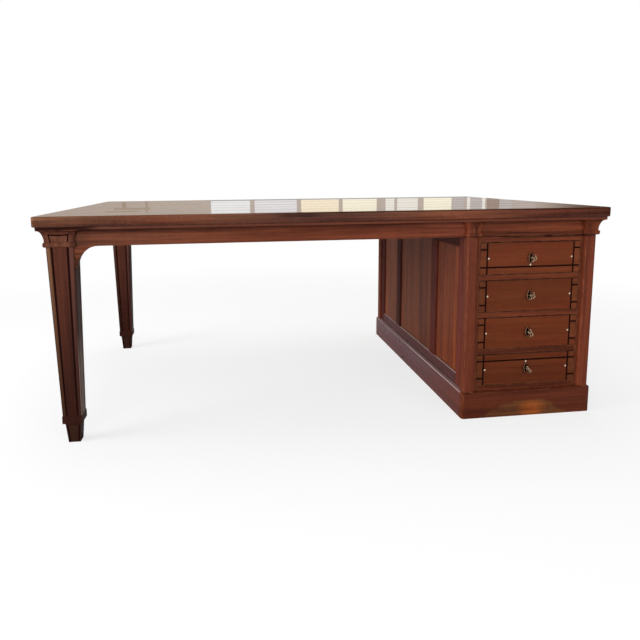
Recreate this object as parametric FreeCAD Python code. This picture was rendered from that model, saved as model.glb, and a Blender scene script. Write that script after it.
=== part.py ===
import FreeCAD, Part
import math
import os

# Partners desk: a thick top on a coved frame, carried by one drawer pedestal at the right
# and two tapered legs at the left. Drawers open to the front and to the back.
# Millimetres. X runs along the desk, -Y is the front, Z is up.
# The origin is on the floor under the centre of the top.

V = FreeCAD.Vector

# Overall
desk_length = 1970.0
desk_depth = 1250.0
desk_height = 770.0

# Top and the flat moulding under it
top_thickness = 34.0
top_corner_radius = 12.0
top_edge_bevel = 2.0
moulding_height = 10.0
moulding_setback = 9.0
moulding_cover = 13.0

# Frame under the moulding: aprons, coved capitals and brackets
face_setback = 32.0
frame_height = 56.0
apron_recess = 10.0
apron_thickness = 22.0
collar_height = 16.0
collar_projection = 7.5
collar_bevel = 3.0
neck_projection = 3.5
neck_height = 2.0
cove_projection = 22.0
cove_top_radius = 13.0
cove_lip = 2.0
bracket_radius = 67.0
bracket_toe = 9.0

# Legs
leg_top_size = 84.0
leg_ankle_size = 61.0
band_size = 65.0
band_bottom = 71.0
band_top = 98.0
band_bevel = 2.0
foot_top_size = 49.0
foot_size = 39.0

# Ebony stringing and bone dots
string_width = 4.5
string_depth = 1.5
leg_string_inset = 0.205
foot_string_inset = 5.5
foot_string_end = 3.0
cap_string_half_width = 30.0
cap_string_half_foot = 26.5
cap_string_height = 25.0
cap_string_sag = 3.0
drawer_string_inset = 25.0
dot_diameter = 7.0
dot_offset = 6.5

# Pedestal carcass
pedestal_width = 489.0
seat_gap = 2.0
seat_inset = 2.0
post_size = 40.0
post_edge_radius = 6.0
rail_recess = 12.0
rail_depth = 22.0
rail_height = 20.0
end_rail_height = 19.0
face_stile_width = 12.0
plinth_height = 98.0
plinth_projection = 8.0
plinth_thickness = 22.0
plinth_corner_radius = 12.0
plinth_bevel = 4.0
plinth_block_size = 52.0

# Panelled sides of the pedestal
side_recess = 8.0
side_thickness = 22.0
side_stile_width = 58.0
side_rail_width = 42.0
muntin_width = 60.0
narrow_panel_width = 225.0
panel_thickness = 8.0
panel_recess = 8.0
panel_tongue = 6.0
frame_bevel = 5.0

# Inside of the pedestal
board_thickness = 8.0
partition_thickness = 16.0
runner_width = 40.0
guide_height = 15.0
peg_size = 14.0
peg_length = 36.0
peg_clearance = 0.1

# Drawers
drawer_count = 4
drawer_gap = 1.5
drawer_back_clearance = 18.0
face_thickness = 22.0
box_side_thickness = 11.0
box_side_drop = 10.5
box_back_thickness = 11.0
box_bottom_thickness = 7.0
box_bottom_lift = 8.0
box_bottom_tongue = 5.0
guide_clearance = 1.0
tail_count = 3
tail_length = 14.0
tail_pitch_share = 0.62
tail_flare = 2.0

# Locks and keys
plate_width = 50.0
plate_thickness = 2.0
plate_below_key = 20.0
pocket_depth = 11.0
bolt_width = 24.0
bolt_thickness = 5.0
bolt_throw = 9.0
bolt_clearance = 0.3
bit_height = 8.0
bit_width = 4.0
bit_thickness = 2.2
bit_room = 1.2
shank_radius = 2.5
shank_clearance = 0.1
keyhole_slot_width = 3.2
keyhole_slot_height = 9.5
keyhole_room = 1.0
escutcheon_width = 14.0
escutcheon_height = 42.0
escutcheon_thickness = 1.2
bow_distance = 21.0
bow_tip_distance = 33.0
bow_thickness = 3.6
bow_lobe_radius = 7.5
bow_lobe_offset = 7.5
bow_hole_radius = 4.0
key_tilts = [25.0, 30.0, 0.0, -25.0]
small_round_sides = 10

# Places that follow from the sizes
half_length = desk_length / 2
half_depth = desk_depth / 2
top_underside = desk_height - top_thickness
frame_top = top_underside - moulding_height
frame_bottom = frame_top - frame_height
collar_top = frame_bottom + collar_height
cove_bottom = collar_top + neck_height
pedestal_top = frame_bottom - seat_gap
pedestal_right = half_length - face_setback
pedestal_left = pedestal_right - pedestal_width
pedestal_x = (pedestal_left + pedestal_right) / 2
pedestal_y = half_depth - face_setback
post_x = pedestal_width / 2 - post_size / 2
post_y = pedestal_y - post_size / 2
leg_x = -half_length + face_setback + leg_top_size / 2
leg_y = half_depth - face_setback - leg_top_size / 2
moulding_width = face_setback + leg_top_size + cove_projection - moulding_setback + moulding_cover
rail_plane = pedestal_y - rail_recess
drawer_length = rail_plane - partition_thickness / 2 - drawer_back_clearance
opening_half = pedestal_width / 2 - post_size - face_stile_width
side_outer = pedestal_width / 2 - side_recess
side_inner = side_outer - side_thickness
rails_total = 2 * end_rail_height + (drawer_count - 1) * rail_height
opening_height = (pedestal_top - plinth_height - rails_total) / drawer_count
face_width = 2 * (opening_half - drawer_gap)
face_height = opening_height - 2 * drawer_gap
face_top = drawer_gap + face_height
box_side_height = opening_height - drawer_gap - box_side_drop
key_height = opening_height / 2
bolt_y = face_thickness - (pocket_depth + plate_thickness) / 2


def block(x0, x1, y0, y1, z0, z1):
    return Part.makeBox(x1 - x0, y1 - y0, z1 - z0, V(x0, y0, z0))


def moved(shape, x, y, z):
    copy = shape.copy()
    copy.translate(V(x, y, z))
    return copy


def turned(shape, angle):
    copy = shape.copy()
    copy.rotate(V(0, 0, 0), V(0, 0, 1), angle)
    return copy


def both_sides(shapes):
    return shapes + [shape.mirror(V(0, 0, 0), V(1, 0, 0)) for shape in shapes]


def solids(shapes):
    return [solid for shape in shapes for solid in shape.Solids]


def save(node, shapes):
    Part.makeCompound(solids(shapes)).exportStep("parts/" + node + ".step")


def square_turning(half_outline, bottom_half, top_half, z0, z1):
    """A square piece whose four faces follow one outline: two crossed extrusions, kept where they meet.

    half_outline holds the edges of the +X side from the bottom corner to the top corner."""
    reach = cove_projection + leg_top_size
    mirrored = [edge.mirror(V(0, 0, 0), V(1, 0, 0)) for edge in half_outline]
    bottom = Part.makeLine(V(-bottom_half, 0, z0), V(bottom_half, 0, z0))
    top = Part.makeLine(V(-top_half, 0, z1), V(top_half, 0, z1))
    wire = Part.Wire(Part.__sortEdges__(half_outline + mirrored + [bottom, top]))
    across = Part.Face(wire).extrude(V(0, 2 * reach, 0))
    across.translate(V(0, -reach, 0))
    return across.common(turned(across, 90))


def mitred_frame(half_x, half_y, width, z0, z1):
    """Four boards round a rectangle, mitred at the corners."""
    boards = []
    for a, b, angle in ((half_x, half_y, 0), (half_y, half_x, 90)):
        outline = [V(-a, -b, z0), V(a, -b, z0), V(a - width, width - b, z0), V(width - a, width - b, z0)]
        board = Part.Face(Part.makePolygon(outline + outline[:1])).extrude(V(0, 0, z1 - z0))
        boards += [turned(board, angle), turned(board, angle + 180)]
    return boards


# Top

def table_top():
    slab = block(-half_length, half_length, -half_depth, half_depth, top_underside, desk_height)
    upright = [edge for edge in slab.Edges if edge.BoundBox.ZLength > top_thickness / 2]
    slab = slab.makeFillet(top_corner_radius, upright)
    rim = [edge for edge in slab.Edges if edge.BoundBox.ZLength < top_thickness / 2]
    return slab.makeChamfer(top_edge_bevel, rim)


def top_moulding():
    inset = moulding_setback
    return mitred_frame(half_length - inset, half_depth - inset, moulding_width, frame_top, top_underside)


# Capitals

def cove_arcs(x0, x1, z0, z1):
    """Two arcs that meet smoothly: one rises plumb from (x0, z0), the other ends level at (x1, z1)."""
    out, up = x1 - x0, z1 - z0
    top_r = cove_top_radius
    steep_r = (out ** 2 + up ** 2 - 2 * up * top_r) / (2 * (out - top_r))
    top_centre, steep_centre = V(x1, 0, z1 - top_r), V(x0 + steep_r, 0, z0)
    toward = (top_centre - steep_centre).normalize()
    join = top_centre + toward * top_r
    middle_steep = (toward + V(-1, 0, 0)).normalize()
    middle_top = (toward + V(0, 0, 1)).normalize()
    steep = Part.Arc(V(x0, 0, z0), steep_centre + middle_steep * steep_r, join).toShape()
    top = Part.Arc(join, top_centre + middle_top * top_r, V(x1, 0, z1)).toShape()
    return [steep, top]


def capital(half, inset=0.0):
    """Coved capital for a square piece of that half width: collar, neck and cove up to the moulding.

    inset draws the same form that much smaller, for the stringing let into its face."""
    seat = half - seat_inset
    collar = half + collar_projection - inset
    neck = half + neck_projection - inset
    lip = half + cove_projection - inset
    lip_z = frame_top - cove_lip
    collar_edge = collar - collar_bevel
    corners = [V(seat, 0, pedestal_top), V(seat, 0, frame_bottom), V(collar_edge, 0, frame_bottom),
               V(collar, 0, frame_bottom + collar_bevel), V(collar, 0, collar_top - collar_bevel),
               V(collar_edge, 0, collar_top), V(neck, 0, collar_top), V(neck, 0, cove_bottom)]
    edges = [Part.makeLine(a, b) for a, b in zip(corners, corners[1:])]
    edges += cove_arcs(neck, lip, cove_bottom, lip_z)
    edges.append(Part.makeLine(V(lip, 0, lip_z), V(lip, 0, frame_top)))
    return square_turning(edges, seat, lip, pedestal_top, frame_top)


def pedestal_capitals():
    cap = capital(post_size / 2).cut(peg(peg_clearance))
    return at_each_post(cap)


def at_each_post(shape):
    return [moved(shape, pedestal_x + sx * post_x, sy * post_y, 0) for sx in (-1, 1) for sy in (-1, 1)]


def peg(clearance=0.0):
    """Loose square peg that locates the top on a post, or, with a clearance, its two mortises."""
    half, reach = peg_size / 2 + clearance, peg_length / 2 + clearance
    return block(-half, half, -half, half, pedestal_top - reach, pedestal_top + reach)


# Legs

def leg_body(inset=0.0):
    """Square leg from floor to moulding: tapered foot, band, long tapered shaft and top block."""
    foot, foot_top, band, ankle, head = [
        size / 2 - inset for size in (foot_size, foot_top_size, band_size, leg_ankle_size, leg_top_size)]
    hollow = band - foot_top
    foot_height = band_bottom - hollow
    bevel_z = band_top - band_bevel
    points = [V(band, 0, band_bottom), V(band, 0, bevel_z), V(ankle, 0, band_top),
              V(head, 0, frame_bottom), V(head, 0, frame_top)]
    centre = V(foot_top + hollow, 0, foot_height)
    low, high = math.radians(180), math.radians(90)
    middle = centre + V(math.cos((low + high) / 2), 0, math.sin((low + high) / 2)) * hollow
    edges = [Part.makeLine(V(foot, 0, 0), V(foot_top, 0, foot_height)),
             Part.Arc(V(foot_top, 0, foot_height), middle, V(band, 0, band_bottom)).toShape()]
    edges += [Part.makeLine(a, b) for a, b in zip(points, points[1:])]
    return square_turning(edges, foot, head, 0, frame_top)


def tapering_line(low_x, low_z, high_x, high_z):
    """One upright line of stringing, leaning in the XZ plane and pushed right through the leg along Y."""
    half = string_width / 2
    corners = [V(low_x - half, -leg_top_size, low_z), V(low_x + half, -leg_top_size, low_z),
               V(high_x + half, -leg_top_size, high_z), V(high_x - half, -leg_top_size, high_z)]
    return Part.Face(Part.makePolygon(corners + corners[:1])).extrude(V(0, 2 * leg_top_size, 0))


def leg_string_lines():
    """Pairs of tapering lines through the leg, one pair on the shaft and one on the foot."""
    inner_share = 0.5 - leg_string_inset
    foot_top_z = band_bottom - (band_size - foot_top_size) / 2
    shaft = (leg_ankle_size * inner_share, band_top, leg_top_size * inner_share, frame_bottom)
    foot = (foot_size / 2 - foot_string_inset, foot_string_end,
            foot_top_size / 2 - foot_string_inset, foot_top_z)
    lines = []
    for low_x, low_z, high_x, high_z in (shaft, foot):
        for side in (-1, 1):
            low, high = side * low_x, side * high_x
            lines.append(tapering_line(low, low_z, high, high_z))
    return lines


def capital_string_lines():
    """The three lines on each face of a leg's capital: a sagging head and two uprights."""
    reach = leg_top_size
    half = string_width / 2
    head_z = collar_top + cap_string_height
    left = V(-cap_string_half_width - half, -reach, head_z + half)
    right = V(cap_string_half_width + half, -reach, head_z + half)
    lowest = V(0, -reach, head_z + half - cap_string_sag)
    down = V(0, 0, -string_width)
    upper = Part.Arc(left, lowest, right).toShape()
    lower = Part.Arc(left + down, lowest + down, right + down).toShape()
    ends = [Part.makeLine(left, left + down), Part.makeLine(right, right + down)]
    wire = Part.Wire(Part.__sortEdges__([upper, lower] + ends))
    head = Part.Face(wire).extrude(V(0, 2 * reach, 0))
    uprights = []
    for side in (-1, 1):
        low, high = side * cap_string_half_foot, side * cap_string_half_width
        uprights.append(tapering_line(low, collar_top, high, head_z).cut(head))
    return [head] + uprights


def let_in(outer, inner, lines):
    """Stringing of one depth on all four faces: the lines, kept between the surface and the inset form."""
    skin = outer.cut(inner)
    strings = []
    for line in lines:
        for angle in (0, 90):
            strings += skin.common(turned(line, angle)).Solids
    return Part.makeCompound(strings)


def mitre_quarters(ring, reach):
    """Cuts a square ring into its four mitred lengths."""
    z0, z1 = ring.BoundBox.ZMin, ring.BoundBox.ZMax
    corners = [V(0, 0, z0), V(reach, -reach, z0), V(reach, reach, z0)]
    wedge = Part.Face(Part.makePolygon(corners + corners[:1])).extrude(V(0, 0, z1 - z0))
    return [ring.common(turned(wedge, angle)) for angle in (0, 90, 180, 270)]


def leg_parts():
    """One leg about its own axis: its body, the mitred capital round its head, and their stringing."""
    body = leg_body()
    stringing = let_in(body, leg_body(string_depth), leg_string_lines())
    half = leg_top_size / 2
    bore = block(-half, half, -half, half, pedestal_top, frame_top)
    above_seat = block(-desk_depth, desk_depth, -desk_depth, desk_depth, frame_bottom, frame_top)
    cap = capital(half).common(above_seat)
    cap_stringing = let_in(cap, capital(half, string_depth), capital_string_lines())
    ring = cap.cut(bore).cut(cap_stringing)
    return {
        "body": [body.cut(stringing)],
        "capital": mitre_quarters(ring, 2 * half),
        "stringing": [stringing, cap_stringing],
    }


# Aprons and brackets

def aprons(leg, leg_capital, post_capital):
    """The boards between the capitals, scribed to them, with a quarter-round bracket beside each leg."""
    board_front = pedestal_y - apron_recess
    board_back = board_front - apron_thickness
    end_left = -half_length + face_setback + apron_recess
    side_left = pedestal_left + apron_recess
    side_right = pedestal_right - apron_recess
    z0, z1 = frame_bottom, frame_top
    neighbours = [moved(leg, leg_x, s * leg_y, 0) for s in (-1, 1)]
    neighbours += [moved(leg_capital, leg_x, s * leg_y, 0) for s in (-1, 1)]
    neighbours += at_each_post(post_capital)
    keep_out = Part.makeCompound(neighbours)
    boards = [block(leg_x, pedestal_left + post_size / 2, -board_front, -board_back, z0, z1),
              block(pedestal_left + post_size / 2, side_right, -board_front, -board_back, z0, z1),
              block(leg_x, pedestal_left + post_size / 2, board_back, board_front, z0, z1),
              block(pedestal_left + post_size / 2, side_right, board_back, board_front, z0, z1),
              block(end_left, end_left + apron_thickness, -leg_y, leg_y, z0, z1),
              block(side_left, side_left + apron_thickness, -post_y, post_y, z0, z1),
              block(side_right - apron_thickness, side_right, -post_y, post_y, z0, z1)]
    pieces = []
    for board in boards:
        trimmed = board.cut(keep_out)
        pieces.append(max(trimmed.Solids, key=lambda solid: solid.Volume))
    for s in (-1, 1):
        low, high = sorted((s * board_front, s * board_back))
        pieces.append(moved(bracket(high - low), leg_x, low, 0).cut(neighbours[0]).cut(neighbours[1]))
        end = turned(bracket(apron_thickness), -90 * s)
        end = moved(end, end_left if s > 0 else end_left + apron_thickness, s * leg_y, 0)
        pieces.append(end.cut(neighbours[0]).cut(neighbours[1]))
    return pieces


def bracket(thickness):
    """Quarter-round bracket in the XZ plane, starting inside the leg, thickness along +Y."""
    reach = leg_top_size / 2 + bracket_toe + bracket_radius
    drop = frame_bottom - bracket_radius
    body = block(leg_ankle_size / 4, reach, 0, thickness, drop, frame_bottom)
    hollow = Part.makeCylinder(bracket_radius, thickness, V(reach, 0, drop), V(0, 1, 0))
    return body.cut(hollow)


# Pedestal

def pedestal_posts():
    half = post_size / 2
    post = block(-half, half, -half, half, plinth_height, pedestal_top)
    post = post.makeFillet(post_edge_radius, [edge for edge in post.Edges if edge.BoundBox.ZLength > half])
    return at_each_post(post.cut(peg(peg_clearance)))


def opening_floor(level):
    """Height of the rail under the drawer at that level, 0 being the top drawer."""
    above = end_rail_height + level * (opening_height + rail_height)
    return pedestal_top - above - opening_height


def drawer_rails():
    """Front and back face frames: rails between two narrow stiles, with a bolt mortise over each drawer."""
    y0, y1 = -rail_plane, -rail_plane + rail_depth
    frame = []
    floors = [opening_floor(level) for level in range(drawer_count)]
    tops = [floors[0] + opening_height + end_rail_height] + floors
    bottoms = [floor + opening_height for floor in floors] + [plinth_height]
    for top, bottom in zip(tops, bottoms):
        rail = block(-opening_half, opening_half, y0, y1, bottom, top)
        if bottom > plinth_height:
            rail = rail.cut(bolt_mortise(bottom))
        frame.append(rail)
    for side in (-1, 1):
        inner, outer = side * opening_half, side * (opening_half + face_stile_width)
        frame.append(block(min(inner, outer), max(inner, outer), y0, y1, plinth_height, pedestal_top))
    return [moved(turned(piece, angle), pedestal_x, 0, 0) for angle in (0, 180) for piece in frame]


def bolt_mortise(underside):
    half_x = bolt_width / 2 + drawer_gap
    half_y = bolt_thickness / 2 + drawer_gap
    y = -rail_plane + bolt_y
    return block(-half_x, half_x, y - half_y, y + half_y, underside, underside + bolt_throw + drawer_gap)


def side_frame():
    """One panelled side, on the +X face: two rails, two stiles, two muntins, three flat panels held in
    grooves, and a bevel round each panel."""
    x0, x1 = side_inner, side_outer
    end_y = pedestal_y - post_size
    low, high = plinth_height + side_rail_width, pedestal_top - side_rail_width
    stile_y = end_y - side_stile_width
    narrow_y = stile_y - narrow_panel_width
    middle_y = narrow_y - muntin_width
    members = [block(x0, x1, -stile_y, stile_y, plinth_height, low),
               block(x0, x1, -stile_y, stile_y, high, pedestal_top)]
    for side in (-1, 1):
        stile_from, stile_to = sorted((side * stile_y, side * end_y))
        muntin_from, muntin_to = sorted((side * middle_y, side * narrow_y))
        members.append(block(x0, x1, stile_from, stile_to, plinth_height, pedestal_top))
        members.append(block(x0, x1, muntin_from, muntin_to, low, high))
    panels = []
    bevels = []
    for y0, y1 in ((-stile_y, -narrow_y), (-middle_y, middle_y), (narrow_y, stile_y)):
        panel_x = x1 - panel_recess
        panels.append(block(panel_x - panel_thickness, panel_x, y0 - panel_tongue, y1 + panel_tongue,
                            low - panel_tongue, high + panel_tongue))
        bevels.append(bevel_cutter(x1, y0, y1, low, high))
    fitted = []
    for member in members:
        for cutter in panels + bevels:
            member = member.cut(cutter)
        fitted.append(member)
    return fitted + panels


def bevel_cutter(x, y0, y1, z0, z1):
    """A shallow pyramid that bevels the edges round one panel opening on the face at x."""
    def rectangle(at_x, grow):
        corners = [V(at_x, y0 - grow, z0 - grow), V(at_x, y1 + grow, z0 - grow),
                   V(at_x, y1 + grow, z1 + grow), V(at_x, y0 - grow, z1 + grow)]
        return Part.makePolygon(corners + corners[:1])
    return Part.makeLoft([rectangle(x - frame_bevel, 0), rectangle(x, frame_bevel)], True)


def pedestal_sides():
    side = side_frame()
    return [moved(turned(piece, angle), pedestal_x, 0, 0) for angle in (0, 180) for piece in side]


def plinth():
    """Four mitred boards with rounded corners and a bevelled top edge, and a glue block in each corner."""
    half_x = pedestal_width / 2 + plinth_projection
    half_y = pedestal_y + plinth_projection
    solid = block(-half_x, half_x, -half_y, half_y, 0, plinth_height)
    upright = [edge for edge in solid.Edges if edge.BoundBox.ZLength > plinth_height / 2]
    solid = solid.makeFillet(plinth_corner_radius, upright)
    rim = [edge for edge in solid.Edges if edge.BoundBox.ZMin > plinth_height / 2]
    solid = solid.makeChamfer(plinth_bevel, rim)
    boards = mitred_frame(half_x, half_y, plinth_thickness, 0, plinth_height)
    pieces = [board.common(solid) for board in boards]
    inner_x, inner_y = half_x - plinth_thickness, half_y - plinth_thickness
    for sx in (-1, 1):
        for sy in (-1, 1):
            x0, x1 = sorted((sx * inner_x, sx * (inner_x - plinth_block_size)))
            y0, y1 = sorted((sy * inner_y, sy * (inner_y - plinth_block_size)))
            pieces.append(block(x0, x1, y0, y1, 0, plinth_height))
    return [moved(piece, pedestal_x, 0, 0) for piece in pieces]


def notched(pieces):
    """Pieces of the inside, moved to the pedestal and notched round its corner posts."""
    half = post_size / 2
    posts = Part.makeCompound(at_each_post(block(-half, half, -half, half, plinth_height, pedestal_top)))
    return [moved(piece, pedestal_x, 0, 0).cut(posts) for piece in pieces]


def inner_boards():
    """Bottom and top dust boards, and the partition between the front and the back drawers."""
    end_y = rail_plane - rail_depth
    low, high = plinth_height + board_thickness, pedestal_top - board_thickness
    half_wall = partition_thickness / 2
    boards = [block(-side_inner, side_inner, -end_y, end_y, plinth_height, low),
              block(-side_inner, side_inner, -end_y, end_y, high, pedestal_top),
              block(-side_inner, side_inner, -half_wall, half_wall, low, high)]
    return notched(boards)


def drawer_runners():
    """A runner and a guide for each drawer side, and kickers over the top drawers."""
    y0, y1 = -rail_plane + rail_depth, -partition_thickness / 2
    guide_inner = face_width / 2 + guide_clearance
    pieces = []
    for level in range(drawer_count):
        floor = opening_floor(level)
        bottom_level = level == drawer_count - 1
        under = plinth_height + board_thickness if bottom_level else floor - rail_height
        pieces.append(block(side_inner - runner_width, side_inner, y0, y1, under, floor))
        pieces.append(block(guide_inner, side_inner, y0, y1, floor, floor + guide_height))
    kicker_z = pedestal_top - end_rail_height
    kicker_top = pedestal_top - board_thickness
    pieces.append(block(side_inner - runner_width, side_inner, y0, y1, kicker_z, kicker_top))
    return notched([turned(piece, angle) for angle in (0, 180) for piece in both_sides(pieces)])


# Drawers. Each is made about its own opening: X across, Y into the desk from the face, Z up from the rail.

def tails(y_root, y_tip, thickness):
    """Dovetails along one edge of the drawer's +X side, flaring from root to tip."""
    pitch = box_side_height / tail_count
    half = pitch * tail_pitch_share / 2
    x0, x1 = face_width / 2 - thickness, face_width / 2
    shapes = []
    for number in range(tail_count):
        z = drawer_gap + (number + 0.5) * pitch
        corners = [V(x0, y_root, z - half), V(x0, y_root, z + half),
                   V(x0, y_tip, z + half + tail_flare), V(x0, y_tip, z - half - tail_flare)]
        shapes.append(Part.Face(Part.makePolygon(corners + corners[:1])).extrude(V(x1 - x0, 0, 0)))
    return shapes


def drawer_box():
    """Dovetailed sides, a back and a bottom slid into grooves; also returns the tails for the face."""
    half = face_width / 2
    back_y = drawer_length - box_back_thickness
    top = drawer_gap + box_side_height
    front_tails = tails(face_thickness, face_thickness - tail_length, box_side_thickness)
    back_tails = tails(back_y, drawer_length, box_side_thickness)
    bottom_z = box_bottom_lift
    inner = half - box_side_thickness + box_bottom_tongue
    bottom = block(-inner, inner, face_thickness - box_bottom_tongue, drawer_length,
                   bottom_z, bottom_z + box_bottom_thickness)
    side = block(half - box_side_thickness, half, face_thickness, back_y, 0, top)
    side = side.fuse(front_tails + back_tails).removeSplitter().cut(bottom)
    back = block(-half, half, back_y, drawer_length, bottom_z + box_bottom_thickness, top)
    for tail in both_sides(back_tails):
        back = back.cut(tail)
    back = max(back.Solids, key=lambda solid: solid.Volume)
    return both_sides([side]) + [back, bottom], both_sides(front_tails)


def drawer_strings(level):
    """Upright lines near both ends; level lines run right across under the top drawer's lock and over the
    bottom drawer's, and are short ticks to the ends elsewhere."""
    half = face_width / 2
    low, high = drawer_gap, face_top
    upright_x = half - drawer_string_inset
    wide = string_width / 2
    uprights = [block(x - wide, x + wide, 0, string_depth, low, high) for x in (-upright_x, upright_x)]
    strings = []
    full_low, full_high = level == 0, level == drawer_count - 1
    for z, full in ((low + drawer_string_inset, full_low), (high - drawer_string_inset, full_high)):
        if full:
            line = block(-half, half, 0, string_depth, z - wide, z + wide)
            uprights = [piece for upright in uprights for piece in upright.cut(line).Solids]
            strings.append(line)
        else:
            tick = block(upright_x + wide, half, 0, string_depth, z - wide, z + wide)
            strings += both_sides([tick])
    return uprights + strings


def round_peg(radius, y0, y1, x=0.0, z=0.0):
    """A small round piece along Y, drawn with a few flat sides because the desk holds so many."""
    turn = 2 * math.pi / small_round_sides
    angles = [(n + 0.5) * turn for n in range(small_round_sides)]
    corners = [V(x + radius * math.cos(a), y0, z + radius * math.sin(a)) for a in angles]
    return Part.Face(Part.makePolygon(corners + corners[:1])).extrude(V(0, y1 - y0, 0))


def drawer_dots(level):
    """Bone dots inside the upright lines, and one between the lock and a full level line."""
    inside = face_width / 2 - drawer_string_inset - dot_offset
    places = [(-inside, key_height), (inside, key_height)]
    if level == 0:
        places.append((0, drawer_gap + drawer_string_inset + dot_offset))
    if level == drawer_count - 1:
        places.append((0, face_top - drawer_string_inset - dot_offset))
    return [round_peg(dot_diameter / 2, 0, string_depth, x, z) for x, z in places]


def keyhole():
    """Round hole in the escutcheon that carries the shank, with a slot below it to let the bit through."""
    slot = keyhole_slot_width / 2
    front = -escutcheon_thickness
    hole = round_rod(shank_radius + shank_clearance, front, 0)
    return moved(hole.fuse(block(-slot, slot, front, 0, -keyhole_slot_height, 0)), 0, 0, key_height)


def round_rod(radius, y0, y1):
    return Part.makeCylinder(radius, y1 - y0, V(0, y0, 0), V(0, 1, 0))


def key_passage():
    """Plain slot through the face behind the escutcheon, roomy enough for the shank and the bit."""
    half = shank_radius + keyhole_room
    low = key_height - keyhole_slot_height - keyhole_room
    return block(-half, half, 0, face_thickness, low, key_height + half)


def lock_pocket():
    """Hollow cut in the back of the face for the lock plate, the bolt and the turning bit."""
    half = plate_width / 2
    front = face_thickness - pocket_depth
    low = key_height - plate_below_key
    return block(-half, half, front, face_thickness, low, face_top)


def lock_plate():
    """Back plate with its top strip turned forwards over the pocket and slotted for the bolt."""
    half = plate_width / 2
    inside = block(-half, half, 0, face_thickness - plate_thickness, 0, face_top - plate_thickness)
    slide_x = bolt_width / 2 + bolt_clearance
    slide_y = bolt_thickness / 2 + bolt_clearance
    slot = block(-slide_x, slide_x, bolt_y - slide_y, bolt_y + slide_y, key_height, face_top)
    return lock_pocket().cut(inside).cut(slot)


def escutcheon():
    """Pointed oval plate round the keyhole."""
    y = -escutcheon_thickness
    high, low = (V(0, y, key_height + side * escutcheon_height / 2) for side in (1, -1))
    widest = [V(side * escutcheon_width / 2, y, key_height) for side in (-1, 1)]
    arcs = [Part.Arc(low, point, high).toShape() for point in widest]
    plate = Part.Face(Part.Wire(Part.__sortEdges__(arcs))).extrude(V(0, escutcheon_thickness, 0))
    return plate.cut(keyhole())


def bolt():
    low = key_height + bit_height + bit_room
    half_x, half_y = bolt_width / 2, bolt_thickness / 2
    return block(-half_x, half_x, bolt_y - half_y, bolt_y + half_y, low, face_top)


def key(level):
    """Shank, bit and a bow of three pierced lobes, turned about the shank to its resting tilt."""
    half = bow_thickness / 2
    shank_end = half + bow_lobe_radius - bow_tip_distance
    shank = round_rod(shank_radius, shank_end, face_thickness - plate_thickness)
    bit_x, bit_y = bit_thickness / 2, bit_width / 2
    bit = block(-bit_x, bit_x, bolt_y - bit_y, bolt_y + bit_y, -bit_height, 0)
    places = [(-bow_distance, side * bow_lobe_offset) for side in (-1, 1)] + [(-bow_tip_distance, 0)]
    body = shank.fuse(bit)
    holes = []
    for y, z in places:
        body = body.fuse(moved(turned(round_peg(bow_lobe_radius, -half, half), 90), 0, y, z))
        holes.append(moved(turned(round_peg(bow_hole_radius, -half, half), 90), 0, y, z))
    body = body.cut(Part.makeCompound(holes)).removeSplitter()
    body.rotate(V(0, 0, 0), V(0, 1, 0), key_tilts[level])
    return moved(body, 0, 0, key_height)


def drawer_face(fitted):
    """The drawer's front board, cut for everything fitted to it and for the lock."""
    half = face_width / 2
    face = block(-half, half, 0, face_thickness, drawer_gap, face_top)
    for cutter in fitted + [lock_pocket(), key_passage()]:
        face = face.cut(cutter)
    return face


def save_drawer(level, box, tail_sockets):
    strings, dots = drawer_strings(level), drawer_dots(level)
    nodes = {
        "face": [drawer_face(strings + dots + tail_sockets + [box[-1]])],
        "box": box,
        "stringing": strings + dots,
        "lock": [lock_plate(), escutcheon()],
        "bolt": [bolt()],
        "key": [key(level)],
    }
    for side, angle in (("front", 0), ("back", 180)):
        for node, shapes in nodes.items():
            placed = [moved(shape, 0, -rail_plane, opening_floor(level)) for shape in solids(shapes)]
            placed = [moved(turned(shape, angle), pedestal_x, 0, 0) for shape in placed]
            save("%s_drawer_%d_%s" % (side, level + 1, node), placed)


def main():
    os.makedirs("parts", exist_ok=True)
    leg = leg_parts()
    legs = [(leg_x, -leg_y), (leg_x, leg_y)]
    save("table_top", [table_top()])
    save("top_moulding", top_moulding())
    save("aprons", aprons(leg_body(), capital(leg_top_size / 2), capital(post_size / 2)))
    save("legs", [moved(piece, x, y, 0) for x, y in legs for piece in leg["body"]])
    save("leg_stringing", [moved(piece, x, y, 0) for x, y in legs for piece in leg["stringing"]])
    leg_caps = [moved(piece, x, y, 0) for x, y in legs for piece in leg["capital"]]
    save("capitals", pedestal_capitals() + leg_caps)
    save("locating_pegs", at_each_post(peg()))
    save("pedestal_posts", pedestal_posts())
    save("drawer_rails", drawer_rails())
    save("pedestal_sides", pedestal_sides())
    save("plinth", plinth())
    save("drawer_runners", inner_boards() + drawer_runners())
    box, tail_sockets = drawer_box()
    for level in range(drawer_count):
        save_drawer(level, box, tail_sockets)


main()
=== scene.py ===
import math
import random

import bmesh
import bpy
from mathutils import Matrix, Vector


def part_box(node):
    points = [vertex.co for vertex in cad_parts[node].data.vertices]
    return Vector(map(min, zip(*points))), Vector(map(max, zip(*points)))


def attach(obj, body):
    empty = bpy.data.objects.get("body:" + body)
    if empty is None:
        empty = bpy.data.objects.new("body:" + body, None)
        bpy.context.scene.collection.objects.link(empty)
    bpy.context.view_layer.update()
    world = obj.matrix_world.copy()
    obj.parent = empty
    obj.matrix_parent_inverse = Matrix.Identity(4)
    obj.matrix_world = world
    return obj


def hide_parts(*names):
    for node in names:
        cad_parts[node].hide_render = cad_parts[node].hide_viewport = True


# Partners desk in mahogany with ebony stringing, bone dots and brass keys. Metres.

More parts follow.
